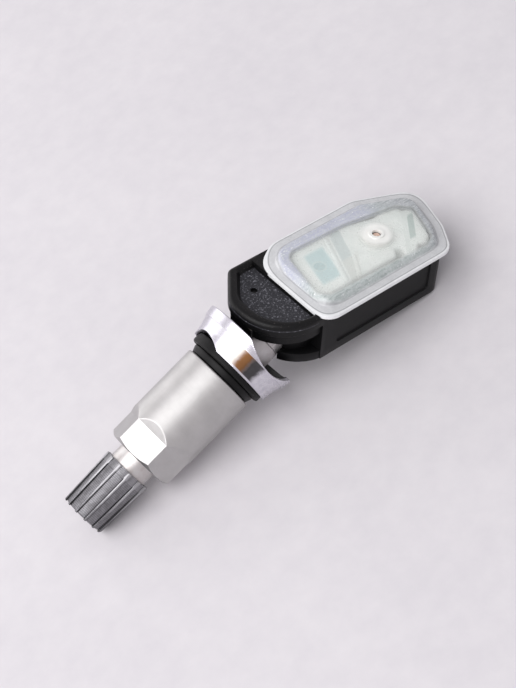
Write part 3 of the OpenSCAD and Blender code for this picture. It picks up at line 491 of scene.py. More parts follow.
def edgeShift(points, out):
    if not isinstance(out, (list, tuple)):
        out = [out] * len(points)
    made, count = [], len(points)
    for index in range(count):
        before, here, after = points[index - 1], points[index], points[(index + 1) % count]
        first = unit((here[0] - before[0], here[1] - before[1]))
        second = unit((after[0] - here[0], after[1] - here[1]))
        a = (here[0] + first[1] * out[index - 1], here[1] - first[0] * out[index - 1])
        b = (here[0] + second[1] * out[index], here[1] - second[0] * out[index])
        cross = first[0] * second[1] - first[1] * second[0]
        if abs(cross) < 1e-6:
            made.append(b)
            continue
        reach = ((b[0] - a[0]) * second[1] - (b[1] - a[1]) * second[0]) / cross
        made.append((a[0] + first[0] * reach, a[1] + first[1] * reach))
    return made


# Corners share each edge by the length that each one needs, as in the part's source
def rounded(points, radii, steps=8, closed=True):
    count = len(points)
    swings = [swingAt(points, index) for index in range(count)]
    need = [max(0.001, radii[index] * abs(math.tan(swings[index] / 2))) for index in range(count)]
    made = []
    for index in range(count):
        before, here, after = points[index - 1], points[index], points[(index + 1) % count]
        atEnd = not closed and index in (0, count - 1)
        if radii[index] < 0.005 or atEnd or abs(swings[index]) < 1e-4:
            made.append(here)
            continue
        inLength, outLength = math.dist(before, here), math.dist(here, after)
        radius = radii[index] * min(1, 0.98 * inLength / (need[index] + need[index - 1]),
                                    0.98 * outLength / (need[index] + need[(index + 1) % count]))
        first = unit((here[0] - before[0], here[1] - before[1]))
        back = radius * abs(math.tan(swings[index] / 2))
        start = (here[0] - first[0] * back, here[1] - first[1] * back)
        side = math.copysign(1, swings[index])
        centre = (start[0] - first[1] * radius * side, start[1] + first[0] * radius * side)
        arm = (start[0] - centre[0], start[1] - centre[1])
        for step in range(steps + 1):
            angle = swings[index] * step / steps
            made.append((centre[0] + arm[0] * math.cos(angle) - arm[1] * math.sin(angle),
                         centre[1] + arm[0] * math.sin(angle) + arm[1] * math.cos(angle)))
    return made


# Quads between rows of points; closed columns always, closed rows for a ring, or end caps
def bandFaces(rowCount, columnCount, closedRows=False, startCap=False, endCap=False):
    faces = []
    for row in range(rowCount if closedRows else rowCount - 1):
        below, above = row * columnCount, ((row + 1) % rowCount) * columnCount
        for column in range(columnCount):
            nextColumn = (column + 1) % columnCount
            faces.append((below + column, below + nextColumn, above + nextColumn, above + column))
    if startCap:
        faces.append(tuple(range(columnCount - 1, -1, -1)))
    if endCap:
        faces.append(tuple(range((rowCount - 1) * columnCount, rowCount * columnCount)))
    return faces


def rawMesh(name, points, faces):
    mesh = bpy.data.meshes.new(name)
    mesh.from_pydata([tuple(point) for point in points], [], faces)
    shape = bmesh.new()
    shape.from_mesh(mesh)
    bmesh.ops.remove_doubles(shape, verts=shape.verts, dist=1e-4)
    bmesh.ops.dissolve_degenerate(shape, edges=shape.edges, dist=1e-5)
    bmesh.ops.recalc_face_normals(shape, faces=shape.faces)
    shape.to_mesh(mesh)
    shape.free()
    return mesh


def loft(name, outlines):
    points = [(x, y, z) for outline, z in outlines for x, y in outline]
    return rawMesh(name, points, bandFaces(len(outlines), len(outlines[0][0]), startCap=True, endCap=True))


def lathe(name, profile, columns=192, closed=True):
    points = []
    for radius, along in profile:
        for column in range(columns):
            angle = 2 * math.pi * column / columns
            points.append((radius * math.cos(angle), radius * math.sin(angle), along))
    return rawMesh(name, points, bandFaces(len(profile), columns, closedRows=closed))


def softEdges(mesh, angleDeg):
    shape = bmesh.new()
    shape.from_mesh(mesh)
    limit = math.radians(angleDeg)
    for face in shape.faces:
        face.smooth = True
    for edge in shape.edges:
        edge.smooth = len(edge.link_faces) == 2 and edge.calc_face_angle(4.0) < limit
    shape.to_mesh(mesh)
    shape.free()


def finishPiece(name, mesh, place, body, nodes, slotName, angleDeg=32, bevel=None):
    mesh.transform(place)
    mesh.name = name
    piece = bpy.data.objects.new(name, mesh)
    scene.collection.objects.link(piece)
    if bevel:
        applyBevel(piece, bevel)
    softEdges(piece.data, angleDeg)
    piece.data.materials.clear()
    piece.data.materials.append(materials[slotName])
    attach(piece, body)
    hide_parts(*nodes)
    print("stage:", name, len(piece.data.polygons), "faces")
    return piece


def takeEvaluated(piece):
    bpy.context.view_layer.update()
    graph = bpy.context.evaluated_depsgraph_get()
    made = bpy.data.meshes.new_from_object(piece.evaluated_get(graph))
    piece.modifiers.clear()
    piece.data = made


def applyBevel(piece, bevel):
    modifier = piece.modifiers.new("edges", "BEVEL")
    modifier.width = bevel["width"] * mm
    modifier.segments = bevel.get("segments", 2)
    modifier.limit_method = "ANGLE"
    modifier.angle_limit = math.radians(bevel.get("angle", 40))
    modifier.use_clamp_overlap = True
    takeEvaluated(piece)


def combine(mesh, parts):
    target = bpy.data.objects.new("combineTarget", mesh)
    scene.collection.objects.link(target)
    helpers = []
    for operation, part in parts:
        helper = bpy.data.objects.new("combineHelper", part)
        scene.collection.objects.link(helper)
        helpers.append(helper)
        modifier = target.modifiers.new("cut", "BOOLEAN")
        modifier.operation = operation
        modifier.solver = "EXACT"
        modifier.object = helper
    takeEvaluated(target)
    made = target.data
    for helper in [target] + helpers:
        bpy.data.objects.remove(helper)
    shape = bmesh.new()
    shape.from_mesh(made)
    bmesh.ops.remove_doubles(shape, verts=shape.verts, dist=1e-3)
    bmesh.ops.dissolve_degenerate(shape, edges=shape.edges, dist=1e-4)
    bmesh.ops.recalc_face_normals(shape, faces=shape.faces)
    shape.to_mesh(made)
    shape.free()
    return made


def roundRod(name, radius, start, end, sides=64):
    start, end = Vector(start), Vector(end)
    turn = (end - start).to_track_quat("Z", "Y").to_matrix()
    points = []
    for at in (start, end):
        for side in range(sides):
            angle = 2 * math.pi * side / sides
            points.append(at + turn @ Vector((radius * math.cos(angle), radius * math.sin(angle), 0)))
    return rawMesh(name, points, bandFaces(2, sides, startCap=True, endCap=True))


# ---- Geometry Nodes: copies of one piece round an axis or along a line
def repeatPiece(name, mesh, count, turnDeg=0.0, step=(0.0, 0.0, 0.0), material=None):
    tree = bpy.data.node_groups.new(name + "Pattern", "GeometryNodeTree")
    face = tree.interface
    face.new_socket("Geometry", in_out="OUTPUT", socket_type="NodeSocketGeometry")
    face.new_socket("Piece", in_out="INPUT", socket_type="NodeSocketGeometry")
    sizes = {"Count": ("NodeSocketInt", count), "Turn": ("NodeSocketFloat", math.radians(turnDeg)),
             "Step": ("NodeSocketVector", step)}
    made = {key: face.new_socket(key, in_out="INPUT", socket_type=kind) for key, (kind, value) in sizes.items()}
    nodes, links = tree.nodes, tree.links
    inputs = nodes.new("NodeGroupInput")
    outputs = nodes.new("NodeGroupOutput")
    dots = nodes.new("GeometryNodePoints")
    index = nodes.new("GeometryNodeInputIndex")
    turn = nodes.new("ShaderNodeMath")
    turn.operation = "MULTIPLY"
    around = nodes.new("ShaderNodeCombineXYZ")
    travel = nodes.new("ShaderNodeVectorMath")
    travel.operation = "SCALE"
    spread = nodes.new("GeometryNodeSetPosition")
    copies = nodes.new("GeometryNodeInstanceOnPoints")
    solid = nodes.new("GeometryNodeRealizeInstances")
    paint = nodes.new("GeometryNodeSetMaterial")
    paint.inputs["Material"].default_value = material
    links.new(inputs.outputs["Count"], dots.inputs["Count"])
    links.new(index.outputs[0], turn.inputs[0])
    links.new(inputs.outputs["Turn"], turn.inputs[1])
    links.new(turn.outputs[0], around.inputs["Z"])
    links.new(inputs.outputs["Step"], travel.inputs[0])
    links.new(index.outputs[0], travel.inputs["Scale"])
    links.new(dots.outputs[0], spread.inputs["Geometry"])
    links.new(travel.outputs[0], spread.inputs["Position"])
    links.new(spread.outputs[0], copies.inputs["Points"])
    links.new(inputs.outputs["Piece"], copies.inputs["Instance"])
    links.new(around.outputs[0], copies.inputs["Rotation"])
    links.new(copies.outputs[0], solid.inputs[0])
    links.new(solid.outputs[0], paint.inputs["Geometry"])
    links.new(paint.outputs[0], outputs.inputs[0])
    holder = bpy.data.objects.new(name + "Holder", mesh)
    scene.collection.objects.link(holder)
    modifier = holder.modifiers.new(name, "NODES")
    modifier.node_group = tree
    for key, (kind, value) in sizes.items():
        modifier[made[key].identifier] = value
    takeEvaluated(holder)
    result = holder.data
    bpy.data.objects.remove(holder)
    return result


def joinMeshes(name, meshes):
    shape = bmesh.new()
    for mesh in meshes:
        shape.from_mesh(mesh)
    made = bpy.data.meshes.new(name)
    shape.to_mesh(made)
    shape.free()
    return made


# ---- sleeve nut: a turned sleeve with six flats that run out in slopes
nut = {"radius": 7.57, "start": 16.0, "hexStart": 32.2, "end": 37.7, "acrossFlats": 13.0, "runOut": 1.8,
       "hexTurn": 17.0, "endChamfer": 0.75, "neckBore": 4.3, "bore": 5.0, "counterbore": 3.0,
       "sleeveBore": 5.8, "innerStep": 4.2, "edge": 0.045, "columns": 384,
       "startRound": 0.35, "closeRows": 29.6}


def softMin(first, second, width):
    gap = max(width - abs(first - second), 0.0) / width
    return min(first, second) - gap * gap * width * 0.25


def makeNut():
    end, start = nut["end"], nut["start"]
    chamferRadius = nut["radius"] - nut["endChamfer"] / math.tan(math.radians(30))
    soft, close = nut["startRound"], nut["closeRows"]     # rows stand closer where the flats run out
    outside = [(nut["sleeveBore"], start), (nut["radius"] - soft, start)]
    outside += [(nut["radius"] - soft + soft * math.sin(math.radians(15 * step)),
                 start + soft - soft * math.cos(math.radians(15 * step))) for step in range(1, 7)]
    for row in range(1, 40):
        outside.append((nut["radius"], start + soft + (close - start - soft) * row / 40))
    for row in range(0, 76):
        outside.append((nut["radius"], close + (end - nut["endChamfer"] - close) * row / 75))
    for row in range(1, 13):
        share = row / 12
        outside.append((nut["radius"] + (chamferRadius - nut["radius"]) * share,
                        end - nut["endChamfer"] * (1 - share)))
    outside += [(chamferRadius - 0.12, end), (nut["neckBore"] + 0.35, end)]
    step = end - nut["innerStep"]
    inside = [(nut["neckBore"], end - 0.35), (nut["neckBore"], step), (nut["bore"], step - 0.5),
              (nut["bore"], start + nut["counterbore"]), (nut["sleeveBore"], start + nut["counterbore"])]
    points = []
    half = nut["acrossFlats"] / 2
    for radius, along in outside + inside:
        flat = half + max(0.0, nut["hexStart"] - along) * (nut["radius"] - half) / nut["runOut"]
        for column in range(nut["columns"]):
            angle = math.radians(360 * column / nut["columns"] - nut["hexTurn"])
            off = (360 * column / nut["columns"] + 30) % 60 - 30
            reach = radius
            if radius > 6.0:
                reach = softMin(radius, flat / math.cos(math.radians(off)), nut["edge"])
            points.append((reach * math.cos(angle), reach * math.sin(angle), along))
    mesh = rawMesh("sleeveNut", points, bandFaces(len(outside) + len(inside), nut["columns"], closedRows=True))
    return finishPiece("sleeve_nut_turned", mesh, valvePlace, "nut", ["sleeve_nut"], "nut_metal", 24)


makeNut()

# ---- slip ring and rubber grommet, both turned
rings = {"gripBore": 5.7, "ringIn": 7.4, "ringOut": 6.95, "ringStart": 14.35, "ringEnd": 15.95,
         "bead": 8.45, "seat": 12.15, "beadEnd": 14.35, "sleeve": 5.65, "sleeveLength": 3.6, "shank": 4.95}


def makeRings():
    start, end = rings["ringStart"], rings["ringEnd"]
    profile = rounded([(rings["gripBore"], start), (rings["ringIn"], start), (rings["ringIn"], start + 0.45),
                       (rings["ringOut"], end), (rings["gripBore"], end)], [0.05, 0.22, 0.3, 0.3, 0.08], 5)
    finishPiece("slip_ring_turned", lathe("slipRing", profile), valvePlace, "slip_ring", ["slip_ring"],
                "ring_plastic", 30)
    seat, bead, sleeveEnd = rings["seat"], rings["bead"], rings["beadEnd"] + rings["sleeveLength"]
    profile = rounded([(rings["shank"], seat), (bead, seat), (bead, rings["beadEnd"]),
                       (rings["sleeve"], rings["beadEnd"]), (rings["sleeve"], sleeveEnd), (rings["shank"], sleeveEnd)],
                      [0.02, 0.35, 0.5, 0.05, 0.3, 0.05], 6)
    finishPiece("rubber_grommet_moulded", lathe("grommet", profile), valvePlace, "valve", ["rubber_grommet"],
                "black_rubber", 30)


makeRings()

# ---- saddle: a turned flange with a hollow, cut by arches on one side and scallops on the other
saddle = {"start": 7.0, "length": 6.2, "radiusIn": 10.45, "radiusOut": 9.05, "band": 2.1, "step": 0.2,
          "hollow": 2.5, "wall": 1.2, "seat": 1.05, "bead": 8.45, "archHalf": 4.8, "archDepth": 1.6,
          "scallopHalf": 6.6, "scallopDepth": 2.2, "turn": 24.0, "bore": 3.05, "columns": 360}


def makeSaddle():
    rim = saddle["start"] + saddle["length"]
    webIn, webOut = saddle["start"] + saddle["hollow"], rim - saddle["seat"]
    inner, middle = saddle["radiusIn"] - saddle["wall"], saddle["radiusIn"] - 0.3
    corners = [(saddle["bore"], webIn), (inner - 0.3, webIn), (inner, webIn - 0.4), (inner, saddle["start"]),
               (saddle["radiusIn"], saddle["start"]), (middle, saddle["start"] + saddle["band"]),
               (middle - saddle["step"], saddle["start"] + saddle["band"] + 0.03),
               (saddle["radiusOut"] + 0.35, rim - 2.2), (saddle["radiusOut"], rim),
               (saddle["bead"] + 0.15, rim), (saddle["bead"] + 0.15, webOut), (saddle["bore"], webOut)]
    profile = rounded(corners, [0.02, 0.1, 0.2, 0.12, 0.16, 0.03, 0.02, 4, 0.12, 0.05, 0.1, 0.02], 4)
    dense = []
    for index, here in enumerate(profile):
        after = profile[(index + 1) % len(profile)]
        pieces = max(1, int(math.dist(here, after) / 0.16))
        dense += [(here[0] + (after[0] - here[0]) * part / pieces, here[1] + (after[1] - here[1]) * part / pieces)
                  for part in range(pieces)]
    archRadius = (saddle["archHalf"] ** 2 + saddle["archDepth"] ** 2) / (2 * saddle["archDepth"])
    scallopRadius = (saddle["scallopHalf"] ** 2 + saddle["scallopDepth"] ** 2) / (2 * saddle["scallopDepth"])
    points = []
    for radius, along in dense:
        for column in range(saddle["columns"]):
            angle = 2 * math.pi * column / saddle["columns"]
            local = angle - math.radians(saddle["turn"])
            u, v = radius * math.cos(local), radius * math.sin(local)
            z = along
            if abs(v) < archRadius:
                z = min(z, rim + archRadius - saddle["archDepth"] - math.sqrt(archRadius ** 2 - v * v))
            if abs(u) < scallopRadius:
                z = max(z, saddle["start"] + saddle["scallopDepth"] - scallopRadius
                        + math.sqrt(scallopRadius ** 2 - u * u))
            points.append((radius * math.cos(angle), radius * math.sin(angle), z))
    mesh = rawMesh("saddle", points, bandFaces(len(dense), saddle["columns"], closedRows=True))
    finishPiece("saddle_plated", mesh, valvePlace, "valve", ["saddle"], "bright_nickel", 28)


makeSaddle()

# ---- valve stem: threaded shank, neck and cap thread, with its bores
stem = {"webIn": 9.5, "spigotIn": 4.0, "spigot": 2.98, "webOut": 12.15, "shank": 4.95, "shankEnd": 33.15,
        "neck": 4.2, "capThread": 3.8, "threadStart": 41.2, "tip": 50.9, "mouth": 2.65, "coreSeat": 43.0,
        "coreBore": 1.9, "airStep": 33.0, "air": 1.25, "shankPitch": 1.0, "capPitch": 0.794, "threadDepth": 0.42,
        "shankStep": 0.125, "capStep": 0.1}


def makeStem():
    columns, rows = 96, []
    low = stem["webIn"] - stem["spigotIn"] + 0.1
    rows += [("flat", stem["air"], low), ("flat", stem["spigot"], low), ("flat", stem["spigot"], stem["webOut"]),
             ("flat", stem["shank"], stem["webOut"])]
    along = stem["webOut"] + 0.1
    while along < stem["shankEnd"] - 0.3:
        rows.append(("shank", stem["shank"], along))
        along += stem["shankStep"]
    rows += [("flat", stem["neck"] + 0.1, stem["shankEnd"] + 0.15), ("flat", stem["neck"], stem["shankEnd"] + 0.3),
             ("flat", stem["neck"], stem["threadStart"] - 0.3),
             ("flat", stem["capThread"] - 0.3, stem["threadStart"])]
    along = stem["threadStart"] + 0.1
    while along < stem["tip"] - 0.5:
        rows.append(("cap", stem["capThread"], along))
        along += stem["capStep"]
    rows += [("flat", stem["capThread"] - 0.35, stem["tip"] - 0.35), ("flat", stem["capThread"] - 0.6, stem["tip"]),
             ("flat", stem["mouth"], stem["tip"]), ("flat", stem["mouth"], stem["coreSeat"] + 1.3),
             ("flat", stem["coreBore"], stem["coreSeat"]), ("flat", stem["coreBore"], stem["airStep"]),
             ("flat", stem["air"], stem["airStep"])]
    points = []
    for kind, radius, place in rows:
        for column in range(columns):
            angle = 2 * math.pi * column / columns
            reach = radius
            if kind != "flat":
                pitch = stem["shankPitch"] if kind == "shank" else stem["capPitch"]
                wave = (place / pitch - column / columns) % 1.0
                reach = radius - stem["threadDepth"] * (1 - min(1.0, abs(wave - 0.5) * 2.6)) * pitch / stem["shankPitch"]
            points.append((reach * math.cos(angle), reach * math.sin(angle), place))
    mesh = rawMesh("valveStem", points, bandFaces(len(rows), columns, closedRows=True))
    finishPiece("valve_stem_threaded", mesh, valvePlace, "valve", ["valve_stem"], "stem_metal", 35)


makeStem()

# ---- dust cap: turned body with ribs repeated round it, broader on the collar


def ribMesh():
    start, end, collarEnd = cap["start"], cap["end"], cap["start"] + cap["collar"]
    slope = (cap["radiusClosed"] - cap["radiusOpen"]) / (end - start)
    places = [start + share * (end - start) for share in
              (0, 0.012, 0.03, 0.07, 0.11, 0.135, 0.14, 0.155, 0.17, 0.25, 0.4, 0.55, 0.7, 0.85, 0.94, 0.97,
               0.985, 1)]
    across = [-1, -0.92, -0.7, -0.4, 0, 0.4, 0.7, 0.92, 1]
    points, root = [], cap["bore"] + 0.4
    for along in places:
        broad = cap["collarRibDeg"] if along < collarEnd else cap["ribDeg"]
        near = min(1.0, (along - start) / 0.15 * 0.7 + 0.3)
        far = min(1.0, (end - along) / cap["edge"])
        top = cap["radiusOpen"] + slope * (along - start) - 0.14 * (1 - near) - cap["edge"] * (1 - far)
        row = [(root, -broad * 0.5)]
        for share in across:
            drop = 0.15 * share ** 2
            row.append((top - drop, broad * 0.5 * share))
        row.append((root, broad * 0.5))
        points += [(radius * math.cos(math.radians(angle + cap["ribTurn"])),
                    radius * math.sin(math.radians(angle + cap["ribTurn"])), along) for radius, angle in row]
    return rawMesh("capRib", points, bandFaces(len(places), len(across) + 2, startCap=True, endCap=True))


def makeCap():
    start, end, collarEnd = cap["start"], cap["end"], cap["start"] + cap["collar"]
    openRadius, closedRadius = cap["radiusOpen"] - cap["panelIn"], cap["radiusClosed"] - cap["panelIn"]
    inner = stem["tip"] + 0.7
    profile = [(cap["mouthBore"], start), (openRadius + 0.06, start), (openRadius + 0.06, collarEnd),
               (openRadius, collarEnd + 0.15), (closedRadius, end - 0.4), (closedRadius - 0.3, end - 0.12),
               (0.0, end - 0.12), (0.0, inner), (cap["bore"], inner), (cap["bore"], stem["threadStart"] + 0.1),
               (cap["mouthBore"], stem["threadStart"] + 0.1)]
    body = lathe("capBody", rounded(profile, [0.05, 0.08, 0.05, 0.05, 0.2, 0.15, 0, 0, 0.1, 0.05, 0.05], 4), 144)
    ribs = repeatPiece("capRibs", ribMesh(), cap["ribs"], 360 / cap["ribs"], material=materials["cap_plastic"])
    mesh = joinMeshes("valveCap", [body, ribs])
    finishPiece("valve_cap_ribbed", mesh, valvePlace, "cap", ["valve_cap"], "cap_plastic", 30)


makeCap()

# ---- swivel foot: cross barrel, tongue, neck and shoulder
foot = {"barrel": 1.6, "barrelLength": 12.2, "neck": 4.8, "neckStart": 3.4, "shoulder": 4.95,
        "shoulderStart": 5.1, "webIn": 9.5, "spigot": 3.0, "spigotIn": 4.0, "outlet": 0.6}


def makeFoot():
    barrel = roundRod("barrel", foot["barrel"], (0, -foot["barrelLength"] / 2, 0), (0, foot["barrelLength"] / 2, 0))
    tongueOutline = rounded([(-foot["barrel"], -foot["neck"]), (foot["barrel"], -foot["neck"]),
                             (foot["barrel"], foot["neck"]), (-foot["barrel"], foot["neck"])], [0.4] * 4, 5)
    tongue = loft("tongue", [(tongueOutline, 0.0), (tongueOutline, foot["shoulderStart"])])
    neck, neckStart, webIn = foot["neck"], foot["neckStart"], foot["webIn"]
    shoulder, shoulderStart = foot["shoulder"], foot["shoulderStart"]
    profile = [(0.0, neckStart), (neck - 0.4, neckStart), (neck, neckStart + 0.4), (neck, shoulderStart),
               (shoulder - 0.2, shoulderStart), (shoulder, shoulderStart + 0.2), (shoulder, webIn), (0.0, webIn)]
    head = lathe("footHead", profile, 96)
    spigot = roundRod("spigotHole", foot["spigot"], (0, 0, webIn - foot["spigotIn"]), (0, 0, webIn + 1), 48)
    outlet = roundRod("outlet", foot["outlet"], (-7, 0, webIn - 1.1), (7, 0, webIn - 1.1), 24)
    mesh = combine(barrel, [("UNION", tongue), ("UNION", head), ("DIFFERENCE", spigot), ("DIFFERENCE", outlet)])
    finishPiece("swivel_foot_cast", mesh, valvePlace, "valve", ["swivel_foot"], "cast_metal", 30)


makeFoot()

# ---- housing: slotted round nose in front of a tub
housing = {"width": 20.7, "bottom": 12.2, "chamfer": 0.4, "wall": 1.5, "floor": 1.4, "ledge": 0.6,
           "frontX": -1.0, "nearEndX": 30.2, "tailMid": (33.0, -5.7), "tailFar": (36.2, 4.6), "kinkX": 22.7,
           "cornerX": 4.4, "cornerY": 7.0, "top": 0.85, "boardTop": 4.0, "board": 1.0,
           "panelDepth": 0.3, "panelFrame": 0.15, "panelFront": 3.2, "panelTail": 3, "panelLow": 2.4,
           "panelHigh": 1.2}
nose = {"reach": 12.75, "radius": 10.2, "rimTop": 0.25, "rimRound": 0.9, "rimFront": 1.7, "rimSide": 0.9,
        "slopeFront": 1.1, "slopeSide": 1.2, "pocketRadius": 9.4, "floorRadius": 6.6, "pocketBack": 2.06,
        "pocket": 1.25, "band": 3.0, "bandIn": 0.55, "slotTop": 5.4, "slotHeight": 4.5, "slotIn": 6.1,
        "slotSideIn": 2.9, "webRadius": 4.5, "lipBack": 4.1, "lipRadius": 9.7, "mark": 0.7,
        "markPlace": (-6.15, 3.7), "boss": 6.0, "bossOut": 0.15, "steps": 26}
halfWidth = housing["width"] / 2
tubCorners = [(housing["frontX"], -halfWidth), (housing["nearEndX"], -halfWidth), housing["tailMid"],
              housing["tailFar"], (housing["kinkX"], halfWidth), (housing["cornerX"], halfWidth),
              (housing["frontX"], housing["cornerY"])]
tubRadii = [0, 2.6, 6, 1.8, 4, 0, 0]
noseCorners = [(-nose["reach"], -halfWidth), (0, -halfWidth), (0, halfWidth),
               (-nose["reach"] + 5.6, halfWidth), (-nose["reach"], 3.4)]
noseRadii = [nose["radius"], 0, 0, 1.5, 7]


def tubOutline(inset):
    radii = [max(radius - inset, 0.3) if radius else 0 for radius in tubRadii]
    return rounded(edgeShift(tubCorners, -inset), radii, 12)


def noseOutline(inset):
    return rounded(edgeShift(noseCorners, [-inset, 0, -inset, -inset, -inset]),
                   [max(radius - inset, 0.5) if radius else 0 for radius in noseRadii], nose["steps"])


# Share 0 is the crest's inner edge, 1 the pocket's floor
def pocketOutline(share):
    side = nose["rimSide"] + nose["slopeSide"] * share
    front = nose["rimFront"] + nose["slopeFront"] * share
    corners = edgeShift(noseCorners, [-side, -nose["pocketBack"], -side, -(side + front) / 2, -front])
    near = nose["pocketRadius"] + (nose["floorRadius"] - nose["pocketRadius"]) * share
    return rounded(corners, [near, 0, 0, 1, 5.6 - 1.4 * share], nose["steps"])


def webOutline():
    side, front = nose["slotSideIn"], nose["slotIn"]
    return rounded(edgeShift(noseCorners, [-side, 0, -side, -(side + front) / 2, -front]),
                   [nose["webRadius"], 0, 0, 1, nose["webRadius"]], 12)


# The clear cover's outline, which also clears the nose behind the pocket
cover = {"over": [1.65, 1.3, 1.3, 0.9, 0.15, 0.6, 1.0], "radii": coverLook["flangeRadii"], "flange": 0.85,
         "domeIn": 2.3, "domeHigh": 1.3, "wall": 0.9, "slope": 0.9, "portRadius": 0.93, "collar": 1.5}
coverCorners = edgeShift(tubCorners, cover["over"])


def coverOutline(inset):
    return rounded(edgeShift(coverCorners, -inset), [max(radius - inset * 0.6, 1.0) for radius in cover["radii"]], 12)


def makeHousing():
    bottom, top = -housing["bottom"], -housing["top"]
    ledge = -housing["boardTop"] - housing["board"]
    tub = loft("tub", [(tubOutline(housing["chamfer"]), bottom), (tubOutline(0.12), bottom + 0.12),
                       (tubOutline(0), bottom + housing["chamfer"]), (tubOutline(0), top),
                       (tubOutline(housing["wall"]), top), (tubOutline(housing["wall"]), ledge),
                       (tubOutline(housing["wall"] + housing["ledge"]), ledge),
                       (tubOutline(housing["wall"] + housing["ledge"]), bottom + housing["floor"])])
    rows = [(noseOutline(nose["bandIn"] + 0.1), -nose["slotTop"]),
            (noseOutline(nose["bandIn"]), -nose["slotTop"] + 0.1),
            (noseOutline(nose["bandIn"]), -nose["band"] - 0.12), (noseOutline(nose["bandIn"] - 0.1), -nose["band"]),
            (noseOutline(0.1), -nose["band"] + 0.02), (noseOutline(0), -nose["band"] + 0.14)]
    for step in range(9):
        angle = math.radians(90 * step / 8)
        rows.append((noseOutline(nose["rimRound"] * (1 - math.cos(angle))),
                     -nose["rimTop"] - nose["rimRound"] * (1 - math.sin(angle))))
    floor = -nose["rimTop"] - nose["pocket"]
    for share, down in ((0, 0), (0.14, 0.03), (0.28, 0.12), (0.42, 0.28), (0.58, 0.54), (0.76, 0.86),
                        (0.9, 1.12), (1, 1.22), (1.06, 1.25)):
        rows.append((pocketOutline(share), -nose["rimTop"] - down * nose["pocket"] / 1.25))
    upper = loft("noseUpper", rows)
    web = loft("noseWeb", [(webOutline(), -nose["slotTop"] - nose["slotHeight"] - 0.2),
                           (webOutline(), -nose["slotTop"] + 0.2)])
    lipCorners = [(nose["lipBack"] - nose["reach"], -halfWidth), (2, -halfWidth), (2, halfWidth),
                  (nose["lipBack"] - nose["reach"], halfWidth)]

    def lipOutline(inset):
        made = rounded(edgeShift(lipCorners, [-inset, 0, -inset, -inset]),
                       [nose["lipRadius"] - inset, 0, 0, nose["lipRadius"] - inset], nose["steps"])
        return [(min(x, 0.3), y) for x, y in made]

    lipTop = -nose["slotTop"] - nose["slotHeight"]
    lip = loft("lowerLip", [(lipOutline(housing["chamfer"]), bottom), (lipOutline(0.12), bottom + 0.12),
                            (lipOutline(0), bottom + housing["chamfer"]), (lipOutline(0), lipTop - 0.16),
                            (lipOutline(0.05), lipTop - 0.05), (lipOutline(0.16), lipTop)])
    bossBox = loft("boss", [([(-nose["reach"] + nose["bandIn"] - nose["bossOut"], -nose["boss"] / 2),
                              (-10, -nose["boss"] / 2), (-10, nose["boss"] / 2),
                              (-nose["reach"] + nose["bandIn"] - nose["bossOut"], nose["boss"] / 2)], z)
                            for z in (-nose["slotTop"], -nose["band"] - 0.1)])
    # Swept room for the foot, the barrel's bore, the blind mark and the shallow side panel
    low = math.radians(fit["tiltDeg"] + 12)
    rest = math.radians(fit["tiltDeg"])

    def along(angle, s, n):
        return (fit["pivotX"] - s * math.cos(angle) - n * math.sin(angle),
                fit["pivotZ"] - s * math.sin(angle) + n * math.cos(angle))

    tongue, room, wide = foot["barrel"] + 0.3, foot["neck"] + 0.3, foot["shoulder"] + 0.3
    step, farStep = foot["neckStart"] - 0.3, foot["shoulderStart"] - 0.3

    def swept(half, side):
        points = [(x, y, z) for y in (-half, half) for x, z in side]
        return rawMesh("footRoom", points, bandFaces(2, len(side), startCap=True, endCap=True))

    neckRoom = swept(room, [along(rest, 0, tongue), along(rest, step, tongue), along(rest, step, room),
                            along(rest, 16, room), along(low, 16, -room), along(low, step, -room),
                            along(low, step, -tongue), along(low, 0, -tongue)])
    headRoom = swept(wide, [along(rest, farStep, wide), along(rest, 16, wide), along(low, 16, -wide),
                            along(low, farStep, -wide)])
    underCover = loft("underCover", [(coverOutline(-0.1), -housing["top"]), (coverOutline(-0.1), 3.0)])
    bore = roundRod("bore", foot["barrel"] + 0.06, (fit["pivotX"], -foot["barrelLength"] / 2 - 0.5, fit["pivotZ"]),
                    (fit["pivotX"], foot["barrelLength"] / 2 + 0.5, fit["pivotZ"]))
    markX, markY = nose["markPlace"]
    mark = roundRod("mark", nose["mark"], (markX, markY, floor - 0.5), (markX, markY, 1), 32)
    x0, x1 = housing["panelFront"], housing["nearEndX"] - housing["panelTail"]
    z0, z1 = bottom + housing["panelLow"], top - housing["panelHigh"]
    panelCorners = [(x0, z0), (x1, z0), (x1, z1), (x0, z1)]
    frameLine = rounded(panelCorners, [0.4] * 4, 6)
    wider = rounded(edgeShift(panelCorners, housing["panelFrame"]), [0.5] * 4, 6)
    panelPoints = [(x, -halfWidth + housing["panelDepth"], z) for x, z in frameLine] + \
                  [(x, -halfWidth + 0.02, z) for x, z in wider] + [(x, -halfWidth - 1, z) for x, z in wider]
    panel = rawMesh("sidePanel", panelPoints, bandFaces(3, len(frameLine), startCap=True, endCap=True))
    shoulder = loft("farShoulder", [([(-1.3, 6.8), (4.7, halfWidth - 0.02), (-1.3, halfWidth)], z)
                                    for z in (-nose["slotTop"], -housing["top"] - 0.01)])
    upper = combine(upper, [("DIFFERENCE", underCover)])
    mesh = combine(tub, [("UNION", upper), ("UNION", web), ("UNION", lip), ("UNION", bossBox), ("UNION", shoulder),
                         ("DIFFERENCE", neckRoom), ("DIFFERENCE", headRoom), ("DIFFERENCE", bore),
                         ("DIFFERENCE", mark), ("DIFFERENCE", panel)])
    finishPiece("housing_moulded", mesh, housingPlace, "sensor", ["housing"], "housing_plastic", 30)


makeHousing()

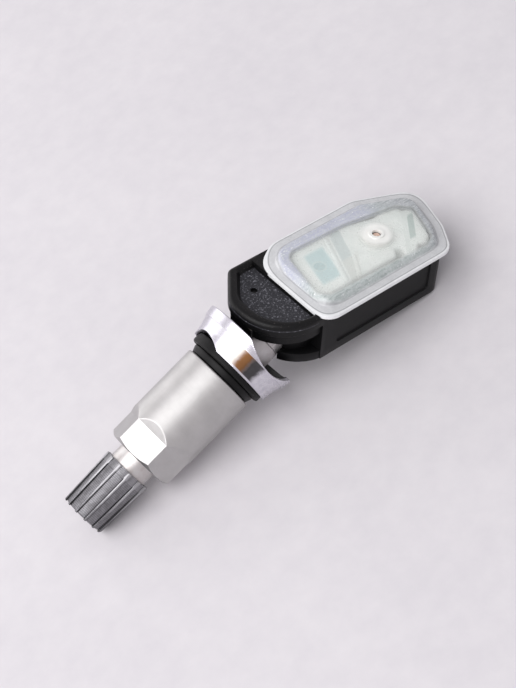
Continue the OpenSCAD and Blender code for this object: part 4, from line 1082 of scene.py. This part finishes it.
# ---- clear cover: flange and dome over the tub
def makeCover():
    hollow = cover["domeIn"] + cover["wall"]
    high, edge = cover["domeHigh"], cover["flange"]
    inside = [(hollow + cover["slope"] * 0.8, high - cover["wall"]), (hollow + 0.1, -edge + 0.25), (hollow, -edge)]
    dome = cover["domeIn"]
    outside = [(0.06, -edge), (0.0, -edge + 0.06), (0.0, -0.2), (0.06, -0.06), (0.2, 0.0), (dome - 0.25, 0.0),
               (dome - 0.08, 0.06), (dome + 0.02, 0.2), (dome + 0.3, high * 0.55), (dome + 0.55, high - 0.22),
               (dome + 0.75, high - 0.06), (dome + cover["slope"] + 0.1, high)]
    mesh = loft("cover", [(coverOutline(inset), z) for inset, z in inside + outside])
    x, y = coverLook["port"]
    collar = roundRod("collar", cover["collar"], (x, y, high - 0.3), (x, y, high + 0.2), 48)
    hole = roundRod("portHole", cover["portRadius"], (x, y, -2), (x, y, high + 2), 48)
    mesh = combine(mesh, [("UNION", collar), ("DIFFERENCE", hole)])
    finishPiece("cover_clear", mesh, housingPlace, "sensor", ["cover"], "cover_plastic", 35)


makeCover()

# ---- pale carrier under the cover, and the port's gasket with the pressure cell in it
carrier = {"corners": [(1.6, -5.2), (3.6, -7.0), (20.6, -7.1), (22.1, -5.2), (23.1, -6.0), (22.2, -8.3), (24.6, -8.5),
                       (26.7, -7.1), (28.2, -7.7), (30.1, -6.5), (33.0, 1.5), (30.8, 2.2), (30.5, 3.6), (28.3, 4.7),
                       (24.5, 4.0), (18.5, 5.7), (10.2, 6.5), (5.8, 6.4), (4.0, 5.3), (2.3, -1.4)],
           "radii": [1.2, 1.3, 0.9, 0.7, 0.6, 0.9, 0.9, 0.8, 0.8, 1.0, 1.2, 0.5, 0.6, 1.1, 3, 5, 4, 1.2, 1.4, 2],
           "top": 0.2, "bottom": -4.0,
           "soft": [(0, -0.62), (0.05, -0.42), (0.17, -0.22), (0.36, -0.07), (0.62, 0.0)]}
port = {"boss": 2.6, "bore": 0.93, "gasketTop": 0.38, "boardTop": -4.0, "cell": 0.9, "cellTop": 0.95}


def makeCarrier():
    def outline(inset):
        radii = [max(radius - inset * 0.5, 0.4) for radius in carrier["radii"]]
        return rounded(edgeShift(carrier["corners"], -inset), radii, 8)

    rows = [(outline(0), carrier["bottom"])]
    rows += [(outline(inset), carrier["top"] + down) for inset, down in carrier["soft"]]
    mesh = loft("carrier", rows)
    strapX, strapLean = carrierLook["strap"]
    straps = [mesh]
    for middle, low, high, lean in ((strapX, -6.4, 5.8, strapLean), (strapX + 4.4, -6.5, -1.6, 0.6)):
        side = [(middle + lean * low - 0.5, low), (middle + lean * low + 0.5, low),
                (middle + lean * high + 0.5, high), (middle + lean * high - 0.5, high)]
        straps.append(loft("strap", [(rounded(edgeShift(side, -inset), [0.3] * 4, 4), carrier["top"] + up)
                                     for inset, up in ((0, -0.3), (0, 0.04), (0.12, 0.12))]))
    mesh = joinMeshes("carrierMoulded", straps)
    finishPiece("carrier_moulded", mesh, housingPlace, "sensor", ["carrier"], "carrier_plastic", 40)


def makePort():
    x, y = coverLook["port"]
    put = housingPlace @ Matrix.Translation((x, y, 0))
    top = port["gasketTop"]
    profile = rounded([(port["bore"], port["boardTop"]), (port["boss"], port["boardTop"]), (port["boss"], top),
                       (port["bore"], top)], [0.02, 0.02, 0.5, 0.12], 6)
    finishPiece("port_gasket_soft", lathe("gasket", profile, 64), put, "sensor", ["port_gasket"], "pale_rubber", 30)
    low, high = port["boardTop"] + 0.02, port["cellTop"]
    side = port["cell"] - 0.02
    profile = [(0.0, low), (side, low), (side, high - 0.05), (side - 0.05, high), (0.0, high)]
    finishPiece("pressure_cell_can", lathe("cell", profile, 48), put, "sensor", ["pressure_cell"], "copper", 30)


makeCarrier()
makePort()

# ---- floor, studio light and the pale surround
studio = {"floor": (225, 220, 224), "floorShade": (217, 212, 217), "keyPower": 7.9, "fillPower": 0.9, "world": 0.48}


def floorPaint(point):
    mottle = point.cloud(220.0, 4.0, 0.6)
    broad = point.cloud(22.0, 3.0)
    shade, pale = linear(*studio["floorShade"]), linear(*studio["floor"])
    colour = (mottle * 0.5 + broad * 0.5).remap(0.35, 0.65).blend(shade, pale)
    return {"Base_Color": colour, "Roughness": 0.8 + 0.1 * mottle}


def makeStudio():
    half = 3.0
    mesh = bpy.data.meshes.new("studioFloor")
    mesh.from_pydata([(-half, -half, 0), (half, -half, 0), (half, half, 0), (-half, half, 0)], [], [(0, 1, 2, 3)])
    floor = bpy.data.objects.new("studioFloor", mesh)
    floor.data.materials.append(newMaterial("paleFloor", floorPaint, Specular_IOR_Level=0.2))
    scene.collection.objects.link(floor)
    centre = housingPlace @ Vector((-10, 0, 0))

    def lamp(name, direction, distance, size, power, colour=(1, 1, 1)):
        data = bpy.data.lights.new(name, "AREA")
        data.shape = "RECTANGLE"
        data.size, data.size_y = size
        data.energy = power
        data.color = colour
        made = bpy.data.objects.new(name, data)
        at = centre + Vector(direction).normalized() * distance
        made.matrix_world = Matrix.Translation(at) @ (at - centre).to_track_quat("Z", "Y").to_matrix().to_4x4()
        scene.collection.objects.link(made)

    lamp("keyPanel", (-0.6, -0.08, 0.8), 0.9, (0.95, 0.95), studio["keyPower"])
    lamp("leftPanel", (-0.35, 1.0, 0.35), 0.55, (0.6, 0.4), studio["fillPower"])
    world = bpy.data.worlds.new("studioWorld")
    world.use_nodes = True
    tree = world.node_tree
    shade = tree.nodes["Background"]
    rays = tree.nodes.new("ShaderNodeLightPath").outputs
    seen, glossy, through = [Wire(tree, rays["Is %s Ray" % kind]) for kind in ("Camera", "Glossy", "Transmission")]
    path = seen + glossy + through
    tree.links.new(path.blend((0.92, 0.93, 0.95, 1), linear(*studio["floor"])).socket, shade.inputs["Color"])
    tree.links.new((path * (1 - studio["world"]) + studio["world"]).socket, shade.inputs["Strength"])
    scene.world = world


makeStudio()
